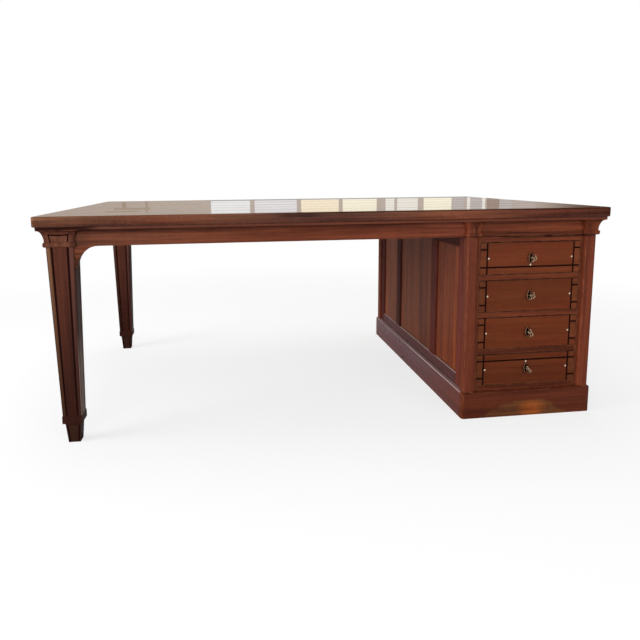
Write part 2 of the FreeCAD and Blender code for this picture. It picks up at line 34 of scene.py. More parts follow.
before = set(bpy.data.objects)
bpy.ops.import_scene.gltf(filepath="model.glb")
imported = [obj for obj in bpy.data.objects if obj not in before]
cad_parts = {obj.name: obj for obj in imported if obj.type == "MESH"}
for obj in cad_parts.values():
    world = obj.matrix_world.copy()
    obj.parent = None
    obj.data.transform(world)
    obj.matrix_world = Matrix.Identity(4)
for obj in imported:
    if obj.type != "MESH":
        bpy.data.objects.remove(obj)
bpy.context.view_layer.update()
dice = random.Random(11)

Z = 2
FRONT, BACK = -1, 1
LEVELS = 4
MM = 0.001

# Places shared with the carcass
PEDESTAL_X = 0.7085
FACE_PLANE = 0.581
LEG_X = -0.911
LEG_Y = 0.551
LEG_TOP_HEIGHT, LEG_TOP_SIZE = 0.670, 84 * MM
LEG_ANKLE_HEIGHT, LEG_ANKLE_SIZE = 0.098, 61 * MM
FOOT_HEIGHT, FOOT_STRINGS = 0.063, (14 * MM, 19 * MM)
UPRIGHT_X, LINE_INSET, LINE_HALF = 0.166, 25 * MM, 3.3 * MM
PANEL_LIMIT, PANEL_TONGUE, SIDE_PANEL_REACH = 10 * MM, 6 * MM, 0.45
SLAB_BOTTOM, SLAB_TOP = 0.736, 0.770

# Where the finishes and their painted light and shade change
LEG_CAP_X, BRACKET_HEIGHT = -0.847, 0.670
PEDESTAL_END_X, PLINTH_FACE_Y, PLINTH_HEIGHT = 0.49, 0.580, 0.098
LOW_RAIL_LIMIT, LOW_HALF = 0.16, 0.31
SEAT_LOW, SEAT_HIGH, SEAT_OUTER_X = 0.6637, 0.6700, 0.70
# Reach of the painted shade round each lock
LOCK_SHADE_WIDTH, LOCK_SHADE_HEIGHT = 18 * MM, 27 * MM
STREAK_X, STREAK_HEIGHT = -0.14, 0.759
HAIR = 0.5 * MM

# Locks and keys
PLATE_HALF_HEIGHT, PLATE_CURVE, PLATE_THICKNESS = 21 * MM, 28 * MM, 1.2 * MM
HOLE_RADIUS, SLOT_HALF_WIDTH, SLOT_HEIGHT = 2.6 * MM, 1.6 * MM, 9.5 * MM
BOW_DISTANCE, BOW_TIP, BOW_THICKNESS = 21 * MM, 33 * MM, 2.4 * MM
LOBE_RADIUS, LOBE_HOLE, DOT_RADIUS = 7.5 * MM, 5.1 * MM, 3.5 * MM
BIT_LOW, BIT_HIGH = (-1.1 * MM, 13.0 * MM, -8.0 * MM), (1.1 * MM, 17.0 * MM, -1.0 * MM)
PLATE_STEPS, LOBE_STEPS, WIRE_STEPS, SHANK_STEPS, DOT_STEPS = 96, 32, 12, 20, 24
PLATE_BRIGHT_RIM, PLATE_WIDTH_LIMIT = 1.5 * MM, 20 * MM
SHANK_BRIGHT_END, BIT_ARRIS = -12.6 * MM, 0.3 * MM
KEY_TILTS = (25, 30, 0, -25)
DRAWER_TONES = (1.02, 1.0, 1.04, 0.98)

# Profiles turned round an axis, as (along, out) in millimetres
SHANK = [
    (20.0, 0.0), (20.0, 1.9), (19.4, 2.5), (-1.5, 2.5), (-2.4, 2.1), (-6.4, 2.1), (-7.0, 2.5), (-8.2, 2.5),
    (-8.8, 2.1), (-10.2, 2.1), (-10.8, 2.5), (-12.6, 2.5), (-13.2, 2.1), (-23.0, 1.7), (-23.7, 0.0),
]
# The dot's dome: depth in millimetres, and how far out as a share of its radius
DOT_DOME = [(0.0, 0.0), (0.05, 0.6), (0.2, 0.92), (0.5, 1.0)]

# The plate's rim from front to back: depth as a share of its thickness, and how far it grows
PLATE_RIM = [(0.0, 0.0), (-0.55, 0.0), (-1.0, -0.6 * MM), (-1.0, -1.4 * MM), (-1.0, -1.9 * MM)]

# Light panels behind the desk, each with the colours of its panes and gaps
COOL = (0.98, 0.97, 0.96), (0.84, 0.83, 0.82)
DULL = (0.90, 0.87, 0.88), (0.76, 0.73, 0.73)
WARM = (1.08, 0.96, 0.76), (0.98, 0.82, 0.56)
PALE = (1.0, 0.96, 0.86), (0.80, 0.75, 0.68)
BRIGHT = (1.10, 1.03, 0.85), (0.98, 0.90, 0.66)
DIM = (0.60, 0.55, 0.53), (0.46, 0.41, 0.39)
FAINT = (0.56, 0.49, 0.45), (0.48, 0.40, 0.36)
BROWN = (0.40, 0.31, 0.26), (0.34, 0.24, 0.19)
MARK = (0.42, 0.33, 0.25), (0.42, 0.33, 0.25)
LEDGE = (0.42, 0.41, 0.39), (0.42, 0.41, 0.39)
WINDOW_Y, WINDOW_THICKNESS, WINDOW_SLAT = 5.0, 10 * MM, 0.034
WINDOW_SILL, WINDOW_HEAD = 0.94, 3.0
# Marks: left, right, low and high
MARKS = [
    (-1.745, -1.300, 1.012, 1.034),
    (-1.856, -1.426, 1.050, 1.064),
    (-1.646, -1.597, 0.935, 1.020),
    (-1.360, -1.330, 0.930, 1.070),
]
# Windows: left, right, low and colours
WINDOWS = [
    (-0.54, -0.04, WINDOW_SILL, COOL),
    (0.02, 0.57, WINDOW_SILL, DULL),
    (0.63, 1.13, WINDOW_SILL, WARM),
    (1.185, 1.645, WINDOW_SILL, BRIGHT),
    (1.77, 1.89, WINDOW_SILL, PALE),
    (1.93, 2.215, WINDOW_SILL, PALE),
    (2.30, 2.69, WINDOW_SILL, BRIGHT),
    (2.71, 2.86, WINDOW_SILL, DIM),
    (2.915, 2.955, WINDOW_SILL, PALE),
    (2.955, 3.02, WINDOW_SILL, DIM),
    (3.02, 3.13, WINDOW_SILL, DIM),
    (3.13, 3.175, WINDOW_SILL, PALE),
    (3.20, 3.38, 0.0, BROWN),
    (3.385, 3.56, 0.0, DIM),
    (3.56, 3.90, 0.0, FAINT),
]

# Pale figure in the plinth's short faces: middle (x, z), reach, outer and inner share, colour factors
PLINTH_FIGURE = [
    ((0.695, -0.030), (0.180, 0.088), 1.02, 0.94, (1.25, 2.0, 1.6)),
    ((0.726, 0.022), (0.062, 0.042), 1.15, 0.15, (2.5, 1.8, 1.05)),
]

# Colour drifting along the sides of the top board, with a painted sheen that lightens and greys them, most
# at the left end: middle x, reach, colour factors
SLAB_DRIFT_AND_SHEEN = [
    (-0.99, 0.44, (1.45, 2.9, 3.6)),
    (-0.46, 0.36, (1.8, 1.9, 1.6)),
    (0.34, 0.36, (2.0, 1.9, 1.5)),
    (0.80, 0.30, (1.3, 1.1, 0.95)),
]

# Studio lights: name, place, aim, size and power
LIGHTS = [
    ("left_light", (-4.2, -1.2, 1.0), (0.4, -0.1, 0.45), 2.0, 210),
    ("front_light", (-1.6, -4.3, 1.5), (0.2, -0.5, 0.5), 1.8, 66),
    ("fill_light", (1.9, -4.2, 1.4), (0.3, -0.5, 0.5), 2.0, 50),
    ("top_light", (0.2, 0.8, 3.6), (0.0, 0.2, 0.6), 2.8, 60),
]
WORLD_STRENGTH = 0.35
ROOM_FRONT, ROOM_BACK, ROOM_RIGHT = (0.10, 0.09, 0.085, 1), (0.53, 0.445, 0.38, 1), (0.12, 0.07, 0.05, 1)
FLOOR_SEEN, FLOOR_PLAIN, FLOOR_RADIUS = (0.93, 0.93, 0.93, 1), (0.22, 0.2, 0.19, 1), 30.0
WHITE = (1, 1, 1, 1)

# Camera
CAMERA_PLACE = (-0.3890, -2.5128, 0.8820)
CAMERA_YAW, CAMERA_PITCH, CAMERA_ROLL = 0.13526, -0.14446, -0.00924
CAMERA_LENS, SENSOR_WIDTH, SHIFT_X, SHIFT_Y = 32.40, 36.0, 0.0280, -0.0909

# Softened arrises
SLAB_CORNER = 12 * MM
SLAB_ARRIS = 4 * MM
BOARD_ARRIS = 1.2 * MM
FINE_ARRIS = 0.7 * MM
DRAWER_ARRIS = 0.4 * MM
SHARP_ANGLE, FLAT_ANGLE = 28, 0.2
WELD = 0.002 * MM


# ---------------------------------------------------------------- node helpers


def put(tree, kind, inputs=None, **settings):
    """Adds a shader node, sets it up and joins sockets to its inputs."""
    made = tree.nodes.new(kind)
    for name, value in settings.items():
        setattr(made, name, value)
    for name, value in (inputs or {}).items():
        if isinstance(value, bpy.types.NodeSocket):
            tree.links.new(value, made.inputs[name])
        else:
            made.inputs[name].default_value = value
    return made


def maths(tree, operation, a, b=0.0, clamp=False):
    return put(tree, "ShaderNodeMath", {0: a, 1: b}, operation=operation, use_clamp=clamp).outputs[0]


def plus(tree, a, b, clamp=False):
    return maths(tree, "ADD", a, b, clamp)


def minus(tree, a, b):
    return maths(tree, "SUBTRACT", a, b)


def times(tree, share, *others):
    for other in others:
        share = maths(tree, "MULTIPLY", share, other)
    return share


def ratio(tree, a, b):
    return maths(tree, "DIVIDE", a, b)


def lesser(tree, a, b):
    return maths(tree, "MINIMUM", a, b)


def greater(tree, a, b):
    return maths(tree, "MAXIMUM", a, b)


def apart(tree, a, b):
    """How far two values lie apart, whichever is the greater."""
    return maths(tree, "ABSOLUTE", minus(tree, a, b))


def object_place(tree):
    return put(tree, "ShaderNodeTexCoord").outputs["Object"]


def split(tree, vector):
    return put(tree, "ShaderNodeSeparateXYZ", {0: vector}).outputs


def attribute(tree, name):
    return put(tree, "ShaderNodeAttribute", attribute_name=name, attribute_type="GEOMETRY").outputs


def stretched(tree, vector, scale):
    """A vector multiplied side by side by a scale."""
    return put(tree, "ShaderNodeVectorMath", {0: vector, 1: scale}, operation="MULTIPLY").outputs[0]


def noise(tree, vector, detail=2.0, roughness=0.5, distortion=0.0):
    inputs = {"Vector": vector, "Scale": 1.0, "Detail": detail, "Roughness": roughness}
    return put(tree, "ShaderNodeTexNoise", {**inputs, "Distortion": distortion}).outputs["Fac"]


def ramp(tree, value, low, high, to_low=0.0, to_high=1.0, kind="SMOOTHSTEP"):
    """A value taken from one range to another, eased at both ends unless the kind says otherwise."""
    inputs = {"Value": value, "From Min": low, "From Max": high, "To Min": to_low, "To Max": to_high}
    return put(tree, "ShaderNodeMapRange", inputs, interpolation_type=kind).outputs["Result"]


def fall(tree, value, low, high, start=1.0):
    """A share that eases down to nothing over a range."""
    return ramp(tree, value, low, high, start, 0.0)


def blended(tree, share, first, second, how="MIX"):
    """Two colours mixed by a share."""
    inputs = {0: share, 6: first, 7: second}
    return put(tree, "ShaderNodeMix", inputs, data_type="RGBA", blend_type=how).outputs[2]


def colour(red, green, blue):
    """A colour given as the eye reads it, from 0 to 255, as the shader takes it."""
    linear = [
        c / 12.92 if c <= 0.04045 else ((c + 0.055) / 1.055) ** 2.4
        for c in (red / 255, green / 255, blue / 255)
    ]
    return (*linear, 1.0)


def shared_group(name, inputs, outputs):
    """An empty shader node group with named sockets."""
    group = bpy.data.node_groups.new(name, "ShaderNodeTree")
    for socket, kind in inputs:
        group.interface.new_socket(socket, in_out="INPUT", socket_type="NodeSocket" + kind)
    for socket, kind in outputs:
        group.interface.new_socket(socket, in_out="OUTPUT", socket_type="NodeSocket" + kind)
    return group, put(group, "NodeGroupInput").outputs, put(group, "NodeGroupOutput").inputs


def use_group(tree, group, inputs):
    return put(tree, "ShaderNodeGroup", inputs, node_tree=group).outputs


# ---------------------------------------------------------------- shared effects

PORE_SHADE = (0.012, 0.003, 0.002, 1.0)


def make_wood_figure():
    """Streaks, ribbon, ripple and pores of a board whose grain runs along the third coordinate."""
    inputs = [("Grain", "Vector"), ("Light", "Color"), ("Dark", "Color")]
    inputs += [(name, "Float") for name in ("Streaks", "Ribbon", "Ripple", "Pores")]
    outputs = [("Color", "Color"), ("Pore", "Float"), ("Height", "Float")]
    tree, given, result = shared_group("wood figure", inputs, outputs)
    grain = given["Grain"]
    streak = noise(tree, stretched(tree, grain, (70, 70, 1.6)), 6.0, 0.62, 0.5)
    ribbon = noise(tree, stretched(tree, grain, (11, 11, 0.7)), 2.0, 0.5, 0.8)
    lines = noise(tree, stretched(tree, grain, (420, 420, 7)), 3.0, 0.6)
    ripple = noise(tree, stretched(tree, grain, (16, 16, 55)), 2.0, 0.5, 0.6)
    pores = noise(tree, stretched(tree, grain, (1300, 1300, 26)), 1.0)
    pore = ramp(tree, pores, 0.52, 0.68)
    tone = times(tree, minus(tree, streak, 0.5), given["Streaks"])
    for part, strength in ((ribbon, given["Ribbon"]), (ripple, given["Ripple"])):
        tone = plus(tree, tone, times(tree, minus(tree, part, 0.5), strength))
    fine = times(tree, minus(tree, lines, 0.5), 0.9)
    tone = plus(tree, plus(tree, tone, fine), 0.5, clamp=True)
    body = blended(tree, tone, given["Dark"], given["Light"])
    depth = times(tree, pore, given["Pores"])
    tree.links.new(blended(tree, depth, body, PORE_SHADE), result["Color"])
    tree.links.new(pore, result["Pore"])
    height = minus(tree, times(tree, lines, 0.4), pore)
    tree.links.new(height, result["Height"])
    return tree


def make_edge_wear():
    """How rubbed a point is: strongest close to an arris of its board, and broken up. Also how dark it is
    near an arris or a groove's mouth: grime, and painted shade in recesses.
    """
    inputs = [("Width", "Float"), ("Amount", "Float")]
    tree, given, result = shared_group("edge wear", inputs, [("Wear", "Float"), ("Grime and shade", "Float")])
    sides = [split(tree, attribute(tree, name)["Vector"]) for name in ("near_low", "near_high")]
    a, b, c = [lesser(tree, sides[0][i], sides[1][i]) for i in range(3)]
    middle = greater(tree, lesser(tree, a, b), lesser(tree, greater(tree, a, b), c))
    place = object_place(tree)
    broken = noise(tree, stretched(tree, place, (38, 38, 38)), 4.0, 0.65)
    reach = times(tree, given["Width"], plus(tree, broken, 0.3))
    near = fall(tree, ratio(tree, middle, reach), 0.25, 1.0)
    patch = ramp(tree, broken, 0.35, 0.62)
    wear = maths(tree, "MULTIPLY", times(tree, near, patch), given["Amount"], clamp=True)
    tree.links.new(wear, result["Wear"])
    tree.links.new(fall(tree, ratio(tree, middle, given["Width"]), 0.2, 1.2), result["Grime and shade"])
    return tree


def make_polish():
    """Hazy and bright patches of a hand-rubbed surface, as a roughness."""
    inputs = [("Gloss", "Float"), ("Haze", "Float"), ("Wear", "Float"), ("Pore", "Float")]
    tree, given, result = shared_group("hand polish", inputs, [("Roughness", "Float")])
    place = object_place(tree)
    cloud = noise(tree, stretched(tree, place, (5, 5, 5)), 3.0, 0.6)
    rub = noise(tree, stretched(tree, place, (60, 60, 60)), 3.0, 0.6)
    patches = times(tree, minus(tree, plus(tree, cloud, rub), 1.0), given["Haze"])
    level = plus(tree, given["Gloss"], patches)
    level = plus(tree, level, times(tree, given["Wear"], 0.18))
    level = plus(tree, level, times(tree, given["Pore"], 0.12), clamp=True)
    tree.links.new(level, result["Roughness"])
    return tree


wood_figure = make_wood_figure()
edge_wear = make_edge_wear()
hand_polish = make_polish()


# ---------------------------------------------------------------- finishes

WORN = colour(138, 84, 58)
LINING_WORN = colour(190, 150, 110)
# Dark colour for grime and glue lines, and for painted shade in grooves, gaps and recesses
DIRT_AND_SHADE = (0.018, 0.0025, 0.0015, 1.0)
# Painted reflection and painted highlight of the low kneehole rail
RAIL_REFLECTION, RAIL_ARRIS_HIGHLIGHT = colour(84, 62, 66), colour(176, 148, 138)
# The brackets' toe colour is a painted shade
SLAB_STREAK, BRACKET_TOE_SHADE = colour(40, 22, 24), colour(34, 14, 9)
# The left border colour is a painted light
LEG_BORDER, LEG_BORDER_LIT = colour(92, 54, 46), colour(96, 64, 40)
# The back leg's left border colour is a painted shade; the leg's right side colour is a painted reflection
LEG_BORDER_SHADED, LEG_FLOOR_REFLECTION = colour(44, 24, 18), colour(170, 148, 138)
# Painted reflection of the plinth's long sides, and painted highlights on its upper arris and ledge
PLINTH_REFLECTION, PLINTH_ARRIS_HIGHLIGHT = colour(110, 90, 97), colour(232, 208, 202)
PLINTH_LEDGE_HIGHLIGHT = colour(176, 146, 144)
WEAR_WIDTH = 4 * MM
RELIEF_STRENGTH, RELIEF_DEPTH = 0.1, 0.2 * MM
COAT_ROUGHNESS = 0.008


def new_material(name):
    material = bpy.data.materials.new(name)
    material.use_nodes = True
    tree = material.node_tree
    tree.nodes.clear()
    shader = tree.nodes.new("ShaderNodeBsdfPrincipled")
    out = tree.nodes.new("ShaderNodeOutputMaterial")
    tree.links.new(shader.outputs[0], out.inputs[0])
    return material, tree, shader.inputs


def grain_of(tree):
    return attribute(tree, "grain")["Vector"]


def board_tone(tree):
    return attribute(tree, "tone")["Fac"]


def add_relief(tree, shader, height):
    inputs = {"Height": height, "Strength": RELIEF_STRENGTH, "Distance": RELIEF_DEPTH}
    tree.links.new(put(tree, "ShaderNodeBump", inputs).outputs[0], shader["Normal"])


def wood(
    name, light, dark, streaks, ribbon, ripple, pores, gloss, haze, wear,
    specular=0.5, tint=None, coat=None, worn=WORN, grime_and_shade=0.3,
):
    """A wood with its figure, board by board variation, rubbed arrises and polish."""
    material, tree, shader = new_material(name)
    given = {"Grain": grain_of(tree), "Light": light, "Dark": dark}
    given.update({"Streaks": streaks, "Ribbon": ribbon, "Ripple": ripple, "Pores": pores})
    figure = use_group(tree, wood_figure, given)
    rubbed = use_group(tree, edge_wear, {"Width": WEAR_WIDTH, "Amount": wear})
    toned = {0: figure["Color"], "Scale": board_tone(tree)}
    shade = put(tree, "ShaderNodeVectorMath", toned, operation="SCALE").outputs[0]
    if tint:
        shade = tint(tree, shade)
    # Darker near arrises and groove mouths: grime, and painted shade in recesses
    shade = blended(tree, times(tree, rubbed["Grime and shade"], grime_and_shade), shade, DIRT_AND_SHADE)
    shade = blended(tree, rubbed["Wear"], shade, worn)
    tree.links.new(shade, shader["Base Color"])
    given = {"Gloss": gloss, "Haze": haze, "Wear": rubbed["Wear"], "Pore": figure["Pore"]}
    tree.links.new(use_group(tree, hand_polish, given)["Roughness"], shader["Roughness"])
    add_relief(tree, shader, figure["Height"])
    shader["Specular IOR Level"].default_value = specular
    if coat:
        tree.links.new(coat(tree), shader["Coat Weight"])
        shader["Coat Roughness"].default_value = COAT_ROUGHNESS
    return material


def board_side(tree, name, axis="Z"):
    """How far a point is from the low or the high side of its board."""
    return split(tree, attribute(tree, name)["Vector"])[axis]


def parts_of_place(tree):
    return split(tree, object_place(tree))


def multiplied(tree, shade, share, factors):
    """A colour multiplied by factors where a mask is one."""
    return blended(tree, share, shade, (*factors, 1.0), "MULTIPLY")


def band(tree, value, middle, half):
    """One where a value lies within half a width of a middle, eased at both sides."""
    return fall(tree, apart(tree, value, middle), half - HAIR / 2, half + HAIR / 2)


def seat_shadow_line(tree, shade):
    """Painted shadow line in the groove where the top unit sits on the pedestal, opening towards the outer
    end.
    """
    place = parts_of_place(tree)
    above = ramp(tree, place["Z"], SEAT_LOW - HAIR, SEAT_LOW + HAIR)
    below = fall(tree, place["Z"], SEAT_HIGH, SEAT_HIGH + 0.6 * MM)
    opening = ramp(tree, place["X"], PEDESTAL_END_X, SEAT_OUTER_X, 0.0, 0.95)
    return blended(tree, times(tree, above, below, opening), shade, DIRT_AND_SHADE)


def side_frame_shades(tree, shade):
    """The seat line's painted shadow, and a low kneehole rail with a grey painted reflection, a pale
    painted highlight along its top and a dark painted shadow at its foot.
    """
    place = parts_of_place(tree)
    shade = seat_shadow_line(tree, shade)
    above = board_side(tree, "near_high")
    height = plus(tree, above, board_side(tree, "near_low"))
    narrow = fall(tree, height, LOW_RAIL_LIMIT - 10 * MM, LOW_RAIL_LIMIT)
    low = fall(tree, place["Z"], LOW_HALF - 10 * MM, LOW_HALF)
    rail = times(tree, narrow, low, fall(tree, place["X"], PEDESTAL_X, PEDESTAL_X + MM))
    # Grey painted reflection on the low kneehole rail
    shade = blended(tree, times(tree, rail, 0.55), shade, RAIL_REFLECTION)
    # Pale painted highlight along the rail's upper arris
    pale = times(tree, fall(tree, above, 1.8 * MM, 3.0 * MM, 0.6), rail)
    shade = blended(tree, pale, shade, RAIL_ARRIS_HIGHLIGHT)
    # Dark painted shadow at the rail's foot, over the plinth's ledge
    below = fall(tree, board_side(tree, "near_low"), 3.0 * MM, 4.5 * MM)
    return blended(tree, times(tree, below, rail), shade, DIRT_AND_SHADE)


def panel_shades(tree, shade):
    """Warmer wood towards the front, with one bright streak, a greyer middle, and a bluer top that is a
    painted reflection.
    """
    place = parts_of_place(tree)
    front = fall(tree, place["Y"], -0.30, -0.20)
    shade = multiplied(tree, shade, front, (1.14, 0.96, 0.76))
    streak = band(tree, place["Y"], -0.462, 12 * MM)
    shade = multiplied(tree, shade, streak, (1.35, 1.3, 1.0))
    back = ramp(tree, place["Y"], 0.12, 0.2)
    shade = multiplied(tree, shade, back, (1.15, 1.26, 1.3))
    middle = minus(tree, minus(tree, 1.0, back), front)
    shade = multiplied(tree, shade, middle, (1.04, 1.06, 1.12))
    # Bluer towards the top: a painted reflection
    return multiplied(tree, shade, ramp(tree, place["Z"], 0.42, 0.66), (0.98, 1.08, 1.34))


def slab_shades(tree, shade):
    """Colour drifting along the top; on the side faces a painted sheen, darker towards their lower arris,
    with one streak and a painted shade along the upper arris to the right.
    """
    place = parts_of_place(tree)
    along = place["X"]
    left = fall(tree, along, -0.9, -0.3)
    shade = multiplied(tree, shade, left, (0.94, 0.62, 0.46))
    middle = times(tree, fall(tree, along, 0.1, 0.5), minus(tree, 1.0, left))
    shade = multiplied(tree, shade, middle, (0.82, 0.98, 1.2))
    face = fall(tree, place["Z"], SLAB_TOP - 1.5 * MM, SLAB_TOP - 0.5 * MM)
    # Painted sheen along the side faces, strongest at the left end
    for centre, reach, factors in SLAB_DRIFT_AND_SHEEN:
        share = times(tree, face, fall(tree, apart(tree, along, centre), 0.0, reach))
        shade = multiplied(tree, shade, share, factors)
    height = ramp(tree, place["Z"], SLAB_BOTTOM, SLAB_TOP - 4 * MM)
    fading = times(tree, face, fall(tree, along, 0.35, 0.65))
    shade = multiplied(tree, shade, times(tree, fading, height), (1.2, 1.3, 1.3))
    low = times(tree, fading, minus(tree, 1.0, height))
    shade = multiplied(tree, shade, low, (0.72, 0.60, 0.58))
    streak = fall(tree, apart(tree, along, STREAK_X), 0.03, 0.11, 0.7)
    streak = times(tree, streak, band(tree, place["Z"], STREAK_HEIGHT, 5 * MM))
    shade = blended(tree, streak, shade, SLAB_STREAK)
    # Painted shade on the rounded upper arris of the side faces, towards the right
    arris = ramp(tree, place["Z"], SLAB_TOP - 6 * MM, SLAB_TOP - 4 * MM)
    arris = times(tree, arris, face, ramp(tree, along, -0.3, -0.1, 0.0, 0.75))
    return blended(tree, arris, shade, DIRT_AND_SHADE)


def frame_shades(tree, shade):
    """The seat line's painted shadow; a painted sheen that greys the aprons' left end, the legs' capitals
    and the brackets; aprons that warm from left to right as painted light; and painted shade on the
    brackets' lower ends and under the moulding over the legs.
    """
    place = parts_of_place(tree)
    shade = seat_shadow_line(tree, shade)
    # Painted sheen: lighter and greyer towards the left end
    left = fall(tree, place["X"], -0.6, -0.1)
    shade = multiplied(tree, shade, left, (1.03, 1.1, 1.15))
    # Painted light: warmer towards the right
    right = fall(tree, place["X"], PEDESTAL_END_X - 30 * MM, PEDESTAL_END_X)
    right = times(tree, ramp(tree, place["X"], -0.5, 0.4), right)
    shade = multiplied(tree, shade, right, (1.16, 1.0, 0.94))
    over_drawers = ramp(tree, place["X"], PEDESTAL_END_X, PEDESTAL_END_X + 20 * MM)
    shade = multiplied(tree, shade, over_drawers, (1.0, 0.88, 0.76))
    # Painted shade at the brackets' lower ends
    toe = times(tree, fall(tree, place["Z"], 0.603, 0.665, 0.85), left)
    shade = blended(tree, toe, shade, BRACKET_TOE_SHADE)
    # Painted sheen by the legs, on their capitals and on the brackets
    by_leg = fall(tree, place["X"], -0.72, -0.45)
    shade = multiplied(tree, shade, by_leg, (1.03, 1.1, 1.15))
    cap = fall(tree, place["X"], LEG_CAP_X - HAIR, LEG_CAP_X + HAIR)
    shade = multiplied(tree, shade, cap, (0.98, 1.1, 1.2))
    bracket = fall(tree, place["Z"], BRACKET_HEIGHT - 2 * MM, BRACKET_HEIGHT + 2 * MM)
    shade = multiplied(tree, shade, times(tree, bracket, by_leg), (1.8, 1.5, 1.25))
    # Painted shadow under the moulding, over the legs
    high = ramp(tree, place["Z"], 0.700, 0.724, 0.0, 0.8)
    return multiplied(tree, shade, times(tree, high, by_leg), (0.55, 0.4, 0.36))


def moulding_shades(tree, shade):
    """Painted shadow over the legs, in the shade of the top, thinning along the desk; warmer towards the
    right.
    """
    along = parts_of_place(tree)["X"]
    shade = multiplied(tree, shade, ramp(tree, along, -0.5, 0.3), (1.15, 1.0, 0.85))
    # Painted shadow over the legs
    return blended(tree, fall(tree, along, -0.84, -0.76, 0.95), shade, DIRT_AND_SHADE)


def leg_shades(tree, shade):
    """Paler borders outside the strings, lighter on the left as painted light and dark on the back leg's
    left as painted shade, dark glue lines beside them, painted shade along the left arrises and towards
    the floor, a painted sheen higher up, and a painted reflection on the right side.
    """
    place = parts_of_place(tree)
    across = apart(tree, place["X"], LEG_X)
    along = apart(tree, maths(tree, "ABSOLUTE", place["Y"]), LEG_Y)
    shaft_ends = LEG_ANKLE_HEIGHT, LEG_TOP_HEIGHT, LEG_ANKLE_SIZE, LEG_TOP_SIZE
    width = ramp(tree, place["Z"], *shaft_ends, "LINEAR")
    out = ratio(tree, lesser(tree, across, along), width)
    shaft = ramp(tree, place["Z"], LEG_ANKLE_HEIGHT, LEG_ANKLE_HEIGHT + MM)
    border = times(tree, ramp(tree, out, 0.29, 0.31), shaft)
    # Lighter, more olive borders on the left: painted light; dark ones on the back leg's left: painted
    # shade
    left = fall(tree, place["X"], LEG_X - MM, LEG_X + MM)
    paler = blended(tree, left, LEG_BORDER, LEG_BORDER_LIT)
    behind = ramp(tree, place["Y"], -MM, MM)
    paler = blended(tree, times(tree, left, behind), paler, LEG_BORDER_SHADED)
    shade = blended(tree, times(tree, border, 0.5), shade, paler)
    # Painted shade along the left arrises
    shade = blended(tree, times(tree, left, ramp(tree, out, 0.455, 0.48, 0.0, 0.8)), shade, DIRT_AND_SHADE)
    beside = apart(tree, out, 0.295)
    line = times(tree, fall(tree, beside, 0.046, 0.056, 0.92), shaft)
    shade = blended(tree, line, shade, DIRT_AND_SHADE)
    # Painted shade towards the floor, and a painted sheen higher up
    low = fall(tree, place["Z"], 0.0, 0.66)
    shade = multiplied(tree, shade, low, (0.45, 0.46, 0.45))
    shade = multiplied(tree, shade, ramp(tree, place["Z"], 0.1, 0.55), (1.14, 1.36, 1.42))
    # Painted reflection of the floor on the right side
    right = ratio(tree, minus(tree, place["X"], LEG_X), width)
    floor_reflection = times(tree, ramp(tree, right, 0.486, 0.496), minus(tree, 1.0, behind))
    floor_reflection = times(tree, floor_reflection, fall(tree, place["Z"], 0.25, 0.42, 0.75), shaft)
    shade = blended(tree, floor_reflection, shade, LEG_FLOOR_REFLECTION)
    foot = fall(tree, place["Z"], FOOT_HEIGHT - MM, FOOT_HEIGHT)
    shade = multiplied(tree, shade, foot, (1.0, 1.5, 1.5))
    string_at = ramp(tree, place["Z"], 0.0, FOOT_HEIGHT, *FOOT_STRINGS, "LINEAR")
    beside = apart(tree, lesser(tree, across, along), string_at)
    line = times(tree, fall(tree, beside, 2.6 * MM, 3.4 * MM, 0.92), foot)
    return blended(tree, line, shade, DIRT_AND_SHADE)


def drawer_shades(tree, shade):
    """Paler end blocks, a redder cast drifting across, dark glue lines, a painted shadow along the top
    edge and a soft painted shade round the lock.
    """
    whole = object_place(tree)
    place = split(tree, whole)
    out = apart(tree, place["X"], PEDESTAL_X)
    block = ramp(tree, out, UPRIGHT_X - MM, UPRIGHT_X + MM)
    olive = noise(tree, stretched(tree, whole, (30, 30, 30)), 2.0)
    shade = multiplied(tree, shade, times(tree, block, olive), (1.15, 1.6, 2.0))
    red = ramp(tree, noise(tree, stretched(tree, whole, (9, 9, 14)), 2.0), 0.45, 0.62)
    shade = multiplied(tree, shade, red, (1.03, 0.91, 0.96))
    sides = [board_side(tree, name) for name in ("near_low", "near_high")]
    lines = [band(tree, out, UPRIGHT_X, LINE_HALF)]
    for near in sides:
        lines.append(times(tree, band(tree, near, LINE_INSET, LINE_HALF), block))
    full = attribute(tree, "full_line")["Fac"]
    lines.append(band(tree, place["Z"], full, LINE_HALF))
    # Painted shadow of the gap along each front's top edge
    dark = fall(tree, sides[1], 1.6 * MM, 3.2 * MM, 0.85)
    # Soft painted shade round the lock
    up = ratio(tree, minus(tree, sides[0], sides[1]), 2 * LOCK_SHADE_HEIGHT)
    side = ratio(tree, out, LOCK_SHADE_WIDTH)
    far = plus(tree, times(tree, up, up), times(tree, side, side))
    dark = greater(tree, dark, fall(tree, far, 0.4, 1.0, 0.5))
    for line in lines:
        dark = greater(tree, dark, times(tree, line, 0.85))
    return blended(tree, dark, shade, DIRT_AND_SHADE)


